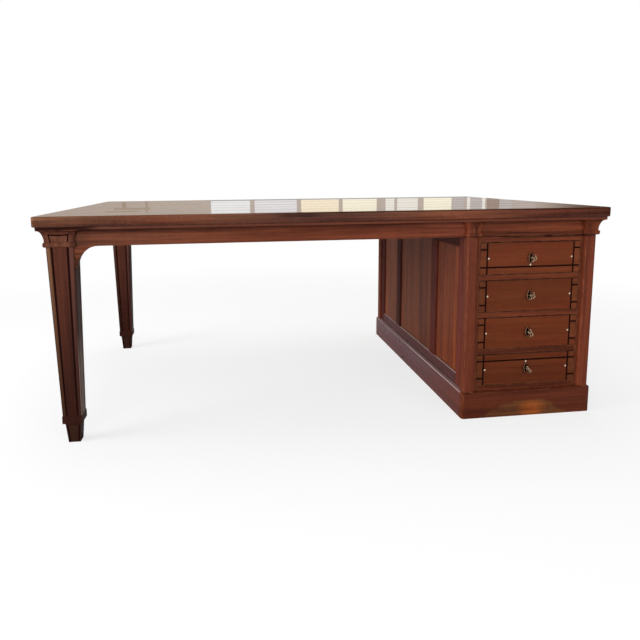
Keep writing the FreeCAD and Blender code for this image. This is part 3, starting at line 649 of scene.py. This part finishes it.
def plinth_shades(tree, shade):
    """A grey painted reflection on the long sides, with painted highlights on the upper arris and the
    ledge; on the short faces an arch of paler figure with a warm flame.
    """
    whole = object_place(tree)
    place = split(tree, whole)
    on_face = ramp(tree, maths(tree, "ABSOLUTE", place["Y"]), PLINTH_FACE_Y - 6 * MM, PLINTH_FACE_Y)
    # Grey painted reflection on the long sides, mostly on the kneehole side
    cloudy = noise(tree, stretched(tree, whole, (6, 1.4, 40)), 2.0, 0.5)
    kneehole = ramp(tree, place["X"], PEDESTAL_X, PEDESTAL_X + 0.2, 1.0, 0.2)
    along = times(tree, minus(tree, 1.0, on_face), kneehole)
    clouds = ramp(tree, cloudy, 0.3, 0.7, 0.58, 0.82)
    back = ramp(tree, place["Y"], -0.62, 0.0, 0.35, 1.0)
    high = ramp(tree, place["Z"], 0.0, PLINTH_HEIGHT, 0.75, 1.0)
    shade = blended(tree, times(tree, along, clouds, back, high), shade, PLINTH_REFLECTION)
    # Painted highlight along the upper arris
    upper = ramp(tree, place["Z"], PLINTH_HEIGHT - 4.2 * MM, PLINTH_HEIGHT - 3.2 * MM)
    front = ramp(tree, place["Y"], -0.1, 0.15, 0.8, 0.2)
    arris = fall(tree, board_side(tree, "near_low", "X"), 2.0 * MM, 3.0 * MM)
    shade = blended(tree, times(tree, upper, front, arris, along), shade, PLINTH_ARRIS_HIGHLIGHT)
    # Painted highlight on the ledge
    ledge = ramp(tree, place["Z"], PLINTH_HEIGHT - 0.6 * MM, PLINTH_HEIGHT - 0.2 * MM, 0.0, 0.75)
    shade = blended(tree, times(tree, ledge, along), shade, PLINTH_LEDGE_HIGHLIGHT)
    wobble = noise(tree, stretched(tree, whole, (11, 11, 24)), 3.0, 0.6)
    wobble = times(tree, minus(tree, wobble, 0.5), 0.5)
    for centre, reach, low, high, factors in PLINTH_FIGURE:
        x = ratio(tree, minus(tree, place["X"], centre[0]), reach[0])
        z = ratio(tree, minus(tree, place["Z"], centre[1]), reach[1])
        far = maths(tree, "SQRT", plus(tree, times(tree, x, x), times(tree, z, z)))
        inside = fall(tree, plus(tree, far, wobble), high, low)
        shade = multiplied(tree, shade, times(tree, inside, on_face), factors)
    return shade


def slab_coat(tree):
    """Clear polish, a little thinner over the open grain and towards the left end."""
    thin = noise(tree, stretched(tree, grain_of(tree), (34, 34, 1.1)), 5.0, 0.62, 0.4)
    ends = ramp(tree, parts_of_place(tree)["X"], -0.95, -0.45, 0.88, 1.0)
    return times(tree, ramp(tree, thin, 0.34, 0.52, 0.88, 1.0), ends)


carcass_wood = wood(
    "carcass mahogany", colour(129, 69, 46), colour(63, 28, 19),
    streaks=2.5, ribbon=1.1, ripple=0.25, pores=0.25, gloss=0.30, haze=0.12, wear=0.5,
    specular=0.22, tint=frame_shades,
)

moulding_wood = wood(
    "moulding mahogany", colour(122, 72, 56), colour(78, 40, 31),
    streaks=2.0, ribbon=0.9, ripple=0.2, pores=0.15, gloss=0.34, haze=0.1, wear=0.1,
    specular=0.15, tint=moulding_shades,
)

post_wood = wood(
    "post mahogany", colour(130, 63, 40), colour(70, 27, 17),
    streaks=1.6, ribbon=0.9, ripple=0.2, pores=0.25, gloss=0.30, haze=0.12, wear=1.0,
    specular=0.35, tint=seat_shadow_line,
)

plinth_wood = wood(
    "plinth mahogany", colour(118, 57, 35), colour(66, 26, 16),
    streaks=1.9, ribbon=0.9, ripple=0.15, pores=0.15, gloss=0.28, haze=0.04, wear=0.9,
    specular=0.35, tint=plinth_shades,
)

frame_wood = wood(
    "side frame mahogany", colour(114, 54, 44), colour(64, 26, 22),
    streaks=1.7, ribbon=0.9, ripple=0.15, pores=0.25, gloss=0.32, haze=0.03, wear=0.06,
    specular=0.12, tint=side_frame_shades,
)

# Panels darkened where they enter their frames: painted shade in the recesses
panel_wood = wood(
    "panel mahogany", colour(126, 68, 44), colour(72, 33, 23),
    streaks=2.1, ribbon=1.6, ripple=0.3, pores=0.25, gloss=0.34, haze=0.08, wear=0.0,
    specular=0.35, tint=panel_shades, grime_and_shade=0.8,
)

leg_wood = wood(
    "leg mahogany", colour(86, 40, 27), colour(48, 19, 12),
    streaks=1.4, ribbon=0.6, ripple=0.2, pores=0.15, gloss=0.30, haze=0.12, wear=0.4,
    specular=0.3, tint=leg_shades,
)

drawer_wood = wood(
    "drawer mahogany", colour(120, 59, 29), colour(84, 35, 14),
    streaks=1.2, ribbon=0.6, ripple=0.15, pores=0.25, gloss=0.34, haze=0.1, wear=0.3,
    specular=0.3, tint=drawer_shades, grime_and_shade=0.0,
)

slab_wood = wood(
    "top mahogany", colour(112, 62, 44), colour(44, 17, 12),
    streaks=2.0, ribbon=1.2, ripple=0.25, pores=0.25, gloss=0.26, haze=0.12, wear=0.2,
    specular=0.35, tint=slab_shades, coat=slab_coat,
)

inner_wood = wood(
    "drawer lining wood", colour(176, 132, 92), colour(132, 88, 56),
    streaks=0.9, ribbon=0.5, ripple=0.1, pores=0.5, gloss=0.6, haze=0.1, wear=0.3,
    worn=LINING_WORN,
)


def make_ebony():
    material, tree, shader = new_material("ebony")
    lines = noise(tree, stretched(tree, object_place(tree), (300, 300, 300)), 3.0)
    tree.links.new(blended(tree, lines, colour(20, 3, 2), colour(32, 7, 4)), shader["Base Color"])
    tree.links.new(ramp(tree, lines, 0.2, 0.8, 0.34, 0.5), shader["Roughness"])
    shader["Specular IOR Level"].default_value = 0.08
    return material


def make_bone():
    material, tree, shader = new_material("bone")
    clouds = noise(tree, stretched(tree, object_place(tree), (260, 260, 260)), 3.0)
    shade = blended(tree, clouds, colour(206, 186, 160), colour(236, 224, 204))
    tree.links.new(shade, shader["Base Color"])
    tree.links.new(ramp(tree, clouds, 0.2, 0.8, 0.3, 0.45), shader["Roughness"])
    shader["Subsurface Weight"].default_value = 0.1
    shader["Subsurface Radius"].default_value = (0.002, 0.001, 0.0008)
    return material


def make_brass(name, bright, dark, dark_share):
    """Old brass, bright where it is handled and brown elsewhere: patina in the key's hollows, and on the
    plate's middle patina with a painted shadow of the key.
    """
    material, tree, shader = new_material(name)
    place = object_place(tree)
    blotch = noise(tree, stretched(tree, place, (160, 160, 160)), 3.0, 0.55)
    fine = noise(tree, stretched(tree, place, (1400, 1400, 1400)), 2.0)
    handled = attribute(tree, "handled")["Fac"]
    # Patina, and on the plate a painted shadow of the key
    patina_and_shade = times(tree, minus(tree, 1.0, handled), dark_share)
    age = plus(tree, ramp(tree, blotch, 0.45, 0.75, 0.0, 0.5), patina_and_shade, clamp=True)
    tree.links.new(blended(tree, age, bright, dark), shader["Base Color"])
    tree.links.new(ramp(tree, age, 0.2, 0.9, 0.6, 0.4), shader["Metallic"])
    rough = plus(tree, ramp(tree, age, 0.0, 1.0, 0.24, 0.5), times(tree, fine, 0.08))
    tree.links.new(rough, shader["Roughness"])
    add_relief(tree, shader, blotch)
    return material


def make_steel():
    material, tree, shader = new_material("filed steel")
    strokes = noise(tree, stretched(tree, object_place(tree), (90, 90, 2600)), 2.0)
    shade = blended(tree, strokes, colour(112, 108, 102), colour(172, 168, 160))
    tree.links.new(shade, shader["Base Color"])
    shader["Metallic"].default_value = 1.0
    tree.links.new(ramp(tree, strokes, 0.2, 0.8, 0.28, 0.5), shader["Roughness"])
    return material


ebony = make_ebony()
bone = make_bone()
key_brass = make_brass("key brass", colour(250, 222, 184), colour(44, 26, 16), 1.0)
plate_brass = make_brass("plate brass", colour(220, 168, 132), colour(58, 38, 24), 0.85)
steel = make_steel()


# ---------------------------------------------------------------- boards


def joined(solids):
    """Several solids as one bmesh. The separate ones are used up."""
    whole = bmesh.new()
    for solid in solids:
        part = bpy.data.meshes.new("part")
        solid.to_mesh(part)
        solid.free()
        whole.from_mesh(part)
        bpy.data.meshes.remove(part)
    return whole


def mesh_of(name, bm, materials):
    mesh = bpy.data.meshes.new(name)
    bm.to_mesh(mesh)
    bm.free()
    for material in materials:
        mesh.materials.append(material)
    return mesh


def placed(name, data):
    made = bpy.data.objects.new(name, data)
    bpy.context.scene.collection.objects.link(made)
    return made


def paint(node, material):
    """Gives a carcass node its one material."""
    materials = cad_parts[node].data.materials
    materials.clear()
    materials.append(material)


def corners(bm):
    low = Vector([min(v.co[i] for v in bm.verts) for i in range(3)])
    high = Vector([max(v.co[i] for v in bm.verts) for i in range(3)])
    return low, high


def width_of(bm):
    low, high = corners(bm)
    return high.x - low.x


def solids_of(node):
    """Each closed solid of a carcass node as a bmesh of its own, with whole flat faces."""
    whole = bmesh.new()
    whole.from_mesh(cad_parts[node].data)
    whole.faces.ensure_lookup_table()
    groups, group, unmatched = [], set(), set()
    for face in whole.faces:
        points = [tuple(round(c, 6) for c in v.co) for v in face.verts]
        for start, end in zip(points, points[1:] + points[:1]):
            if (end, start) in unmatched:
                unmatched.remove((end, start))
            else:
                unmatched.add((start, end))
        group.add(face.index)
        if not unmatched:
            groups.append(group)
            group = set()
    if group:
        groups.append(group)
    solids = []
    for group in groups:
        solid = whole.copy()
        solid.faces.ensure_lookup_table()
        others = [f for f in solid.faces if f.index not in group]
        bmesh.ops.delete(solid, geom=others, context="FACES")
        bmesh.ops.remove_doubles(solid, verts=solid.verts, dist=WELD)
        limit = math.radians(FLAT_ANGLE)
        bmesh.ops.dissolve_limit(solid, angle_limit=limit, verts=solid.verts, edges=solid.edges)
        solids.append(solid)
    whole.free()
    return solids


def soften(bm, width, wanted, segments=2):
    """Rounds the arrises that a test picks out."""
    edges = [e for e in bm.edges if len(e.link_faces) == 2 and e.is_convex and wanted(e)]
    if edges:
        shape = {"offset": width, "offset_type": "OFFSET", "segments": segments, "profile": 0.5}
        bmesh.ops.bevel(bm, geom=edges, affect="EDGES", material=-1, clamp_overlap=True, **shape)


def on_outline(low, high, slack=0.05 * MM):
    """A test for edges that lie where two outer planes of a box meet."""

    def test(edge):
        planes = 0
        for i in range(3):
            for level in (low[i], high[i]):
                planes += all(abs(v.co[i] - level) < slack for v in edge.verts)
        return planes >= 2

    return test


def mark_wood(bm, along=None, tone_factor=1.0, housed=0.0):
    """Writes which way the grain runs, the board's own tone and how near its sides are.

    A panel's edges are housed in grooves, so its sides are counted from the groove's mouth."""
    low, high = corners(bm)
    size = high - low
    axis = max(range(3), key=lambda i: size[i]) if along is None else along
    order = [(axis + 1) % 3, (axis + 2) % 3, axis]
    shift = Vector([dice.uniform(0.0, 6.0) for _ in range(3)])
    own_tone = dice.uniform(0.9, 1.1) * tone_factor
    inset = Vector([housed if size[i] > 5 * housed else 0.0 for i in range(3)])
    grain = bm.verts.layers.float_vector.new("grain")
    near_low = bm.verts.layers.float_vector.new("near_low")
    near_high = bm.verts.layers.float_vector.new("near_high")
    tone = bm.verts.layers.float.new("tone")
    for v in bm.verts:
        v[grain] = Vector([v.co[i] for i in order]) + shift
        v[near_low] = v.co - low - inset
        v[near_high] = high - v.co - inset
        v[tone] = own_tone
    return bm


def piece(name, solids, material, body, node):
    """Solids joined in one object that rides on a body and stands for a carcass node."""
    mesh = mesh_of(name, joined(solids), [material])
    mesh.shade_smooth()
    mesh.set_sharp_from_angle(angle=math.radians(SHARP_ANGLE))
    made = placed(name, mesh)
    weights = made.modifiers.new("even shading", "WEIGHTED_NORMAL")
    weights.keep_sharp = True
    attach(made, body)
    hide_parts(node)


def box_board(low, high):
    bm = bmesh.new()
    bmesh.ops.create_cube(bm, size=1.0)
    size = Vector(high) - Vector(low)
    middle = (Vector(high) + Vector(low)) / 2
    bmesh.ops.scale(bm, vec=size, verts=bm.verts)
    bmesh.ops.translate(bm, vec=middle, verts=bm.verts)
    return bm


def upright(edge):
    a, b = edge.verts
    return abs(a.co.x - b.co.x) < 1e-6 and abs(a.co.y - b.co.y) < 1e-6


def level_outline(low, high):
    """A test for the edges round the top and the underside of a slab."""

    def test(edge):
        heights = {round(v.co.z, 5) for v in edge.verts}
        return len(heights) == 1 and heights <= {round(low, 5), round(high, 5)}

    return test


# ---------------------------------------------------------------- the carcass

low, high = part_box("table_top")
slab = box_board(low, high)
soften(slab, SLAB_CORNER, upright, 6)
soften(slab, SLAB_ARRIS, level_outline(low.z, high.z), 4)
piece("top_slab", [mark_wood(slab)], slab_wood, "desk", "table_top")

CARCASS = {
    "top_moulding": moulding_wood,
    "aprons": carcass_wood,
    "pedestal_posts": post_wood,
    "drawer_rails": carcass_wood,
    "plinth": plinth_wood,
    "legs": leg_wood,
    "capitals": carcass_wood,
}
for node, material in CARCASS.items():
    solids = solids_of(node)
    for solid in solids:
        low, high = corners(solid)
        soften(solid, BOARD_ARRIS if node in ("plinth", "aprons") else FINE_ARRIS, on_outline(low, high))
        leg_cap = node == "capitals" and low.x < 0
        mark_wood(solid, Z if node == "capitals" else None, 0.74 if leg_cap else 1.0)
    piece(node + "_wood", solids, material, "desk", node)

for node in ("locating_pegs", "drawer_runners"):
    solids = [mark_wood(s) for s in solids_of(node)]
    piece(node + "_wood", solids, inner_wood, "desk", node)

panels, frames = [], []
for solid in solids_of("pedestal_sides"):
    low, high = corners(solid)
    thick, wide, tall = high - low
    if thick < PANEL_LIMIT:
        near = abs((low.y + high.y) / 2 / SIDE_PANEL_REACH)
        panels.append(mark_wood(solid, Z, 0.9 if near < 0.5 else 1.2, PANEL_TONGUE))
    else:
        soften(solid, FINE_ARRIS, on_outline(low, high))
        muntin = tall > wide and abs(low.y + high.y) / 2 < SIDE_PANEL_REACH
        level = tall < wide
        tone = 0.72 if level else 1.0
        # On the kneehole side the muntins are darker, the far one most, and so is the far stile: painted
        # shade in the frame's recesses
        if high.x < PEDESTAL_X:
            if muntin:
                tone = 0.8 if low.y < 0 else 0.3
            elif low.y > SIDE_PANEL_REACH:
                tone = 0.55
        frames.append(mark_wood(solid, None, tone))
piece("pedestal_panels", panels, panel_wood, "desk", "pedestal_sides")
piece("pedestal_frames", frames, frame_wood, "desk", "pedestal_sides")

paint("leg_stringing", ebony)


# ---------------------------------------------------------------- locks and keys


def mark_handled(bm, test):
    """Writes where metal is kept bright by handling."""
    handled = bm.verts.layers.float.new("handled")
    for v in bm.verts:
        v[handled] = test(v.co)
    return bm


def outline(bm, points):
    """A closed ring of edges through points."""
    made = [bm.verts.new(p) for p in points]
    return [bm.edges.new(pair) for pair in zip(made, made[1:] + made[:1])]


def turned_profile(points, axis, steps, closed=False):
    """A profile of (along, out) pairs turned once round an axis through the origin."""
    bm = bmesh.new()
    side = Vector((0, 0, 1))
    made = [bm.verts.new(axis * along + side * out) for along, out in points]
    pairs = list(zip(made, made[1:] + (made[:1] if closed else [])))
    edges = [bm.edges.new(pair) for pair in pairs]
    turn = {"cent": (0, 0, 0), "axis": axis, "angle": math.tau, "steps": steps}
    bmesh.ops.spin(bm, geom=made + edges, use_merge=True, **turn)
    bmesh.ops.remove_doubles(bm, verts=bm.verts, dist=WELD / 2)
    bmesh.ops.recalc_face_normals(bm, faces=bm.faces)
    return bm


def plate_reach(angle, grown):
    """How far the pointed oval reaches from the keyhole, waisted above and below the middle."""
    across = abs(math.sin(angle))
    reach = math.sqrt((PLATE_CURVE * across) ** 2 + PLATE_HALF_HEIGHT**2) - PLATE_CURVE * across
    steep = math.degrees(math.asin(across))
    waist = 0.17 * math.exp(-(((steep - 32) / 9) ** 2)) + 0.07 * math.exp(-(((steep - 66) / 8) ** 2))
    return (reach + grown) * (1 - waist)


def keyhole_reach(angle):
    """How far the keyhole reaches from the shank: a round hole with a slot below."""
    down = abs(math.pi - angle)
    if down < math.atan2(SLOT_HALF_WIDTH, SLOT_HEIGHT):
        return SLOT_HEIGHT / math.cos(down)
    if down < math.asin(SLOT_HALF_WIDTH / HOLE_RADIUS):
        return SLOT_HALF_WIDTH / math.sin(down)
    return HOLE_RADIUS


def make_plate():
    """Thin shaped brass plate with a rounded rim and an open keyhole."""
    bm = bmesh.new()
    angles = [(n + 0.5) * math.tau / PLATE_STEPS for n in range(PLATE_STEPS)]
    rings = []
    for y, grown in PLATE_RIM:
        rings.append([(a, plate_reach(a, grown), y * PLATE_THICKNESS) for a in angles])
    for y in (-PLATE_THICKNESS, 0.0):
        rings.append([(a, keyhole_reach(a), y) for a in angles])
    loops = [outline(bm, [(r * math.sin(a), y, r * math.cos(a)) for a, r, y in ring]) for ring in rings]
    for first, second in zip(loops, loops[1:] + loops[:1]):
        bmesh.ops.bridge_loops(bm, edges=first + second)
    bmesh.ops.recalc_face_normals(bm, faces=bm.faces)

    # Only the rim counts as handled; the middle takes the dark brass, partly patina and partly a painted
    # shadow of the key
    def rubbed(place):
        rim = plate_reach(math.atan2(place.x, place.z) % math.tau, 0) - PLATE_BRIGHT_RIM
        return 1.0 if math.hypot(place.x, place.z) > rim else 0.0

    return mark_handled(bm, rubbed)


def make_key():
    """Bow of three pierced rings, shank with its beads, and the bit."""
    thick, wide = BOW_THICKNESS / 2, (LOBE_RADIUS - LOBE_HOLE) / 2
    middle = LOBE_HOLE + wide
    turns = [n * math.tau / WIRE_STEPS for n in range(WIRE_STEPS)]
    section = [(thick * math.cos(t), middle + wide * math.sin(t)) for t in turns]
    parts = []
    for y, z in ((-BOW_DISTANCE, -LOBE_RADIUS), (-BOW_DISTANCE, LOBE_RADIUS), (-BOW_TIP, 0.0)):
        lobe = turned_profile(section, Vector((1, 0, 0)), LOBE_STEPS, closed=True)
        mark_handled(lobe, lambda p: 1.0 if math.hypot(p.y, p.z) > middle - 0.1 * MM else 0.0)
        bmesh.ops.translate(lobe, vec=(0, y, z), verts=lobe.verts)
        parts.append(lobe)
    shank = turned_profile([(y * MM, r * MM) for y, r in SHANK], Vector((0, 1, 0)), SHANK_STEPS)
    parts.append(mark_handled(shank, lambda p: 1.0 if p.y < SHANK_BRIGHT_END else 0.2))
    bit = box_board(BIT_LOW, BIT_HIGH)
    soften(bit, BIT_ARRIS, lambda edge: True)
    return [*parts, mark_handled(bit, lambda p: 0.5)]


def make_dot(depth):
    """Bone dot, slightly domed, set flush."""
    dome = [(y * MM, out * DOT_RADIUS) for y, out in DOT_DOME]
    return turned_profile([*dome, (depth, DOT_RADIUS), (depth, 0.0)], Vector((0, 1, 0)), DOT_STEPS)


def settle(solids, place, side, tilt=0.0):
    """Turns fittings to their tilt and to their side of the desk, and sets them in place."""
    facing = Matrix.Rotation(0.0 if side == FRONT else math.pi, 4, "Z")
    turn = facing @ Matrix.Rotation(math.radians(tilt), 4, "Y")
    for solid in solids:
        solid.transform(Matrix.Translation(place) @ turn)
    return solids


# ---------------------------------------------------------------- drawers

for end, side in (("front", FRONT), ("back", BACK)):
    for level in range(1, LEVELS + 1):
        drawer = f"{end}_drawer_{level}"
        solids = solids_of(drawer + "_face")
        low, high = corners(solids[0])
        keyhole = Vector((PEDESTAL_X, side * FACE_PLANE, (low.z + high.z) / 2))
        soften(solids[0], DRAWER_ARRIS, on_outline(low, high))
        mark_wood(solids[0], tone_factor=DRAWER_TONES[level - 1])
        full_line = solids[0].verts.layers.float.new("full_line")
        for v in solids[0].verts:
            v[full_line] = {1: low.z + LINE_INSET, LEVELS: high.z - LINE_INSET}.get(level, 0.0)
        piece(drawer + "_front", solids, drawer_wood, drawer, drawer + "_face")
        solids = [mark_wood(s) for s in solids_of(drawer + "_box")]
        piece(drawer + "_lining", solids, inner_wood, drawer, drawer + "_box")

        lines, dots = [], []
        for solid in solids_of(drawer + "_stringing"):
            low, high = corners(solid)
            size = high - low
            if abs(size.x - size.z) < MM:
                middle = (low + high) / 2
                solid.free()
                dots += settle([make_dot(size.y)], Vector((middle.x, side * FACE_PLANE, middle.z)), side)
            else:
                lines.append(solid)
        piece(drawer + "_strings", lines, ebony, drawer, drawer + "_stringing")
        piece(drawer + "_dots", dots, bone, drawer, drawer + "_stringing")

        plates = [s for s in solids_of(drawer + "_lock") if width_of(s) > PLATE_WIDTH_LIMIT]
        plates = [mark_handled(s, lambda p: 0.6) for s in plates]
        plates += settle([make_plate()], keyhole, side)
        piece(drawer + "_plates", plates, plate_brass, drawer, drawer + "_lock")
        keys = settle(make_key(), keyhole, side, KEY_TILTS[level - 1])
        piece(drawer + "_key_brass", keys, key_brass, drawer + "_key", drawer + "_key")
        paint(drawer + "_bolt", steel)


# ---------------------------------------------------------------- stage, lights and camera


def stage_material(name):
    material = bpy.data.materials.new(name)
    material.use_nodes = True
    material.node_tree.nodes.clear()
    return material, material.node_tree


def mixed(tree, share, first, second):
    """Two shaders mixed by a share."""
    return put(tree, "ShaderNodeMixShader", {0: share, 1: first, 2: second}).outputs[0]


def make_floor():
    """Pale floor that keeps the desk's shadow and runs out into the white backdrop."""
    material, tree = stage_material("pale floor")
    place = object_place(tree)
    distance = put(tree, "ShaderNodeVectorMath", {0: place}, operation="LENGTH").outputs["Value"]
    shadow_share = fall(tree, distance, 1.2, 3.6, 0.27)
    white = put(tree, "ShaderNodeEmission", {"Color": WHITE, "Strength": 1.0}).outputs[0]
    seen = put(tree, "ShaderNodeBsdfDiffuse", {"Color": FLOOR_SEEN}).outputs[0]
    plain = put(tree, "ShaderNodeBsdfDiffuse", {"Color": FLOOR_PLAIN}).outputs[0]
    shown = mixed(tree, shadow_share, white, seen)
    camera_ray = put(tree, "ShaderNodeLightPath").outputs["Is Camera Ray"]
    put(tree, "ShaderNodeOutputMaterial", {0: mixed(tree, camera_ray, plain, shown)})
    bm = bmesh.new()
    bmesh.ops.create_circle(bm, cap_ends=True, radius=FLOOR_RADIUS, segments=96)
    placed("floor", mesh_of("floor", bm, [material]))


def make_world():
    """White to the eye, a soft even light on everything, and a calm room in reflections."""
    world = bpy.data.worlds.new("studio")
    bpy.context.scene.world = world
    world.use_nodes = True
    tree = world.node_tree
    tree.nodes.clear()
    path = put(tree, "ShaderNodeLightPath").outputs
    direction = put(tree, "ShaderNodeTexCoord").outputs["Generated"]
    parts = split(tree, direction)
    room = blended(tree, ramp(tree, parts["Y"], 0.1, 0.9), ROOM_FRONT, ROOM_BACK)
    room = blended(tree, ramp(tree, parts["X"], 0.48, 0.57), room, ROOM_RIGHT)
    white = put(tree, "ShaderNodeBackground", {"Color": WHITE, "Strength": 1.0}).outputs[0]
    even = put(tree, "ShaderNodeBackground", {"Color": WHITE, "Strength": WORLD_STRENGTH}).outputs[0]
    mirrored = put(tree, "ShaderNodeBackground", {"Color": room, "Strength": 1.0}).outputs[0]
    lit = mixed(tree, path["Is Glossy Ray"], even, mirrored)
    seen = greater(tree, path["Is Camera Ray"], path["Is Transmission Ray"])
    put(tree, "ShaderNodeOutputWorld", {0: mixed(tree, seen, lit, white)})


def window_row():
    """Name, left, right, low, high and colours of each light panel."""
    row = [(f"mark {number}", *sides, MARK) for number, sides in enumerate(MARKS, 1)]
    for number, (left, right, low, colours) in enumerate(WINDOWS, 1):
        row.append((f"window {number}", left, right, low, WINDOW_HEAD, colours))
    return [*row, ("sill", -0.60, 3.2, 0.86, WINDOW_SILL, LEDGE)]


def make_windows():
    """A row of tall slatted light panels far behind, seen only as reflections in the polish."""
    panels, materials = [], []
    for name, left, right, low, high, (pane, gap) in window_row():
        material, tree = stage_material(name)
        height = parts_of_place(tree)["Z"]
        slats = maths(tree, "SINE", times(tree, height, math.tau / WINDOW_SLAT))
        light = blended(tree, ramp(tree, slats, -0.2, 0.9), (*pane, 1), (*gap, 1))
        glow = put(tree, "ShaderNodeEmission", {"Color": light, "Strength": 1.0}).outputs[0]
        put(tree, "ShaderNodeOutputMaterial", {0: glow})
        materials.append(material)
        panel = box_board((left, WINDOW_Y, low), (right, WINDOW_Y + WINDOW_THICKNESS, high))
        for face in panel.faces:
            face.material_index = len(materials) - 1
        panels.append(panel)
    windows = placed("windows", mesh_of("windows", joined(panels), materials))
    windows.visible_camera = False
    windows.visible_diffuse = False
    windows.visible_shadow = False


def softbox(name, place, aim, size, power):
    """A square light that stays out of the polish, where its outline would look like a cut in the top."""
    lamp = bpy.data.lights.new(name, "AREA")
    lamp.shape = "SQUARE"
    lamp.size = size
    lamp.energy = power
    holder = placed(name, lamp)
    holder.location = place
    holder.rotation_mode = "QUATERNION"
    holder.rotation_quaternion = (Vector(aim) - Vector(place)).to_track_quat("-Z", "Y")
    holder.visible_camera = False
    holder.visible_glossy = False


def make_camera():
    flat = math.cos(CAMERA_PITCH)
    forward = Vector((math.sin(CAMERA_YAW) * flat, math.cos(CAMERA_YAW) * flat, math.sin(CAMERA_PITCH)))
    level_right = Vector((math.cos(CAMERA_YAW), -math.sin(CAMERA_YAW), 0.0))
    level_up = level_right.cross(forward)
    right = math.cos(CAMERA_ROLL) * level_right + math.sin(CAMERA_ROLL) * level_up
    up = -math.sin(CAMERA_ROLL) * level_right + math.cos(CAMERA_ROLL) * level_up
    data = bpy.data.cameras.new("view")
    data.lens, data.sensor_width = CAMERA_LENS, SENSOR_WIDTH
    data.shift_x, data.shift_y = SHIFT_X, SHIFT_Y
    camera = placed("view", data)
    turn = Matrix((right, up, -forward)).transposed()
    camera.matrix_world = Matrix.Translation(CAMERA_PLACE) @ turn.to_4x4()
    bpy.context.scene.camera = camera


make_floor()
make_world()
for name, place, aim, size, power in LIGHTS:
    softbox(name, place, aim, size, power)
make_windows()
make_camera()
bpy.context.scene.view_settings.view_transform = "Standard"
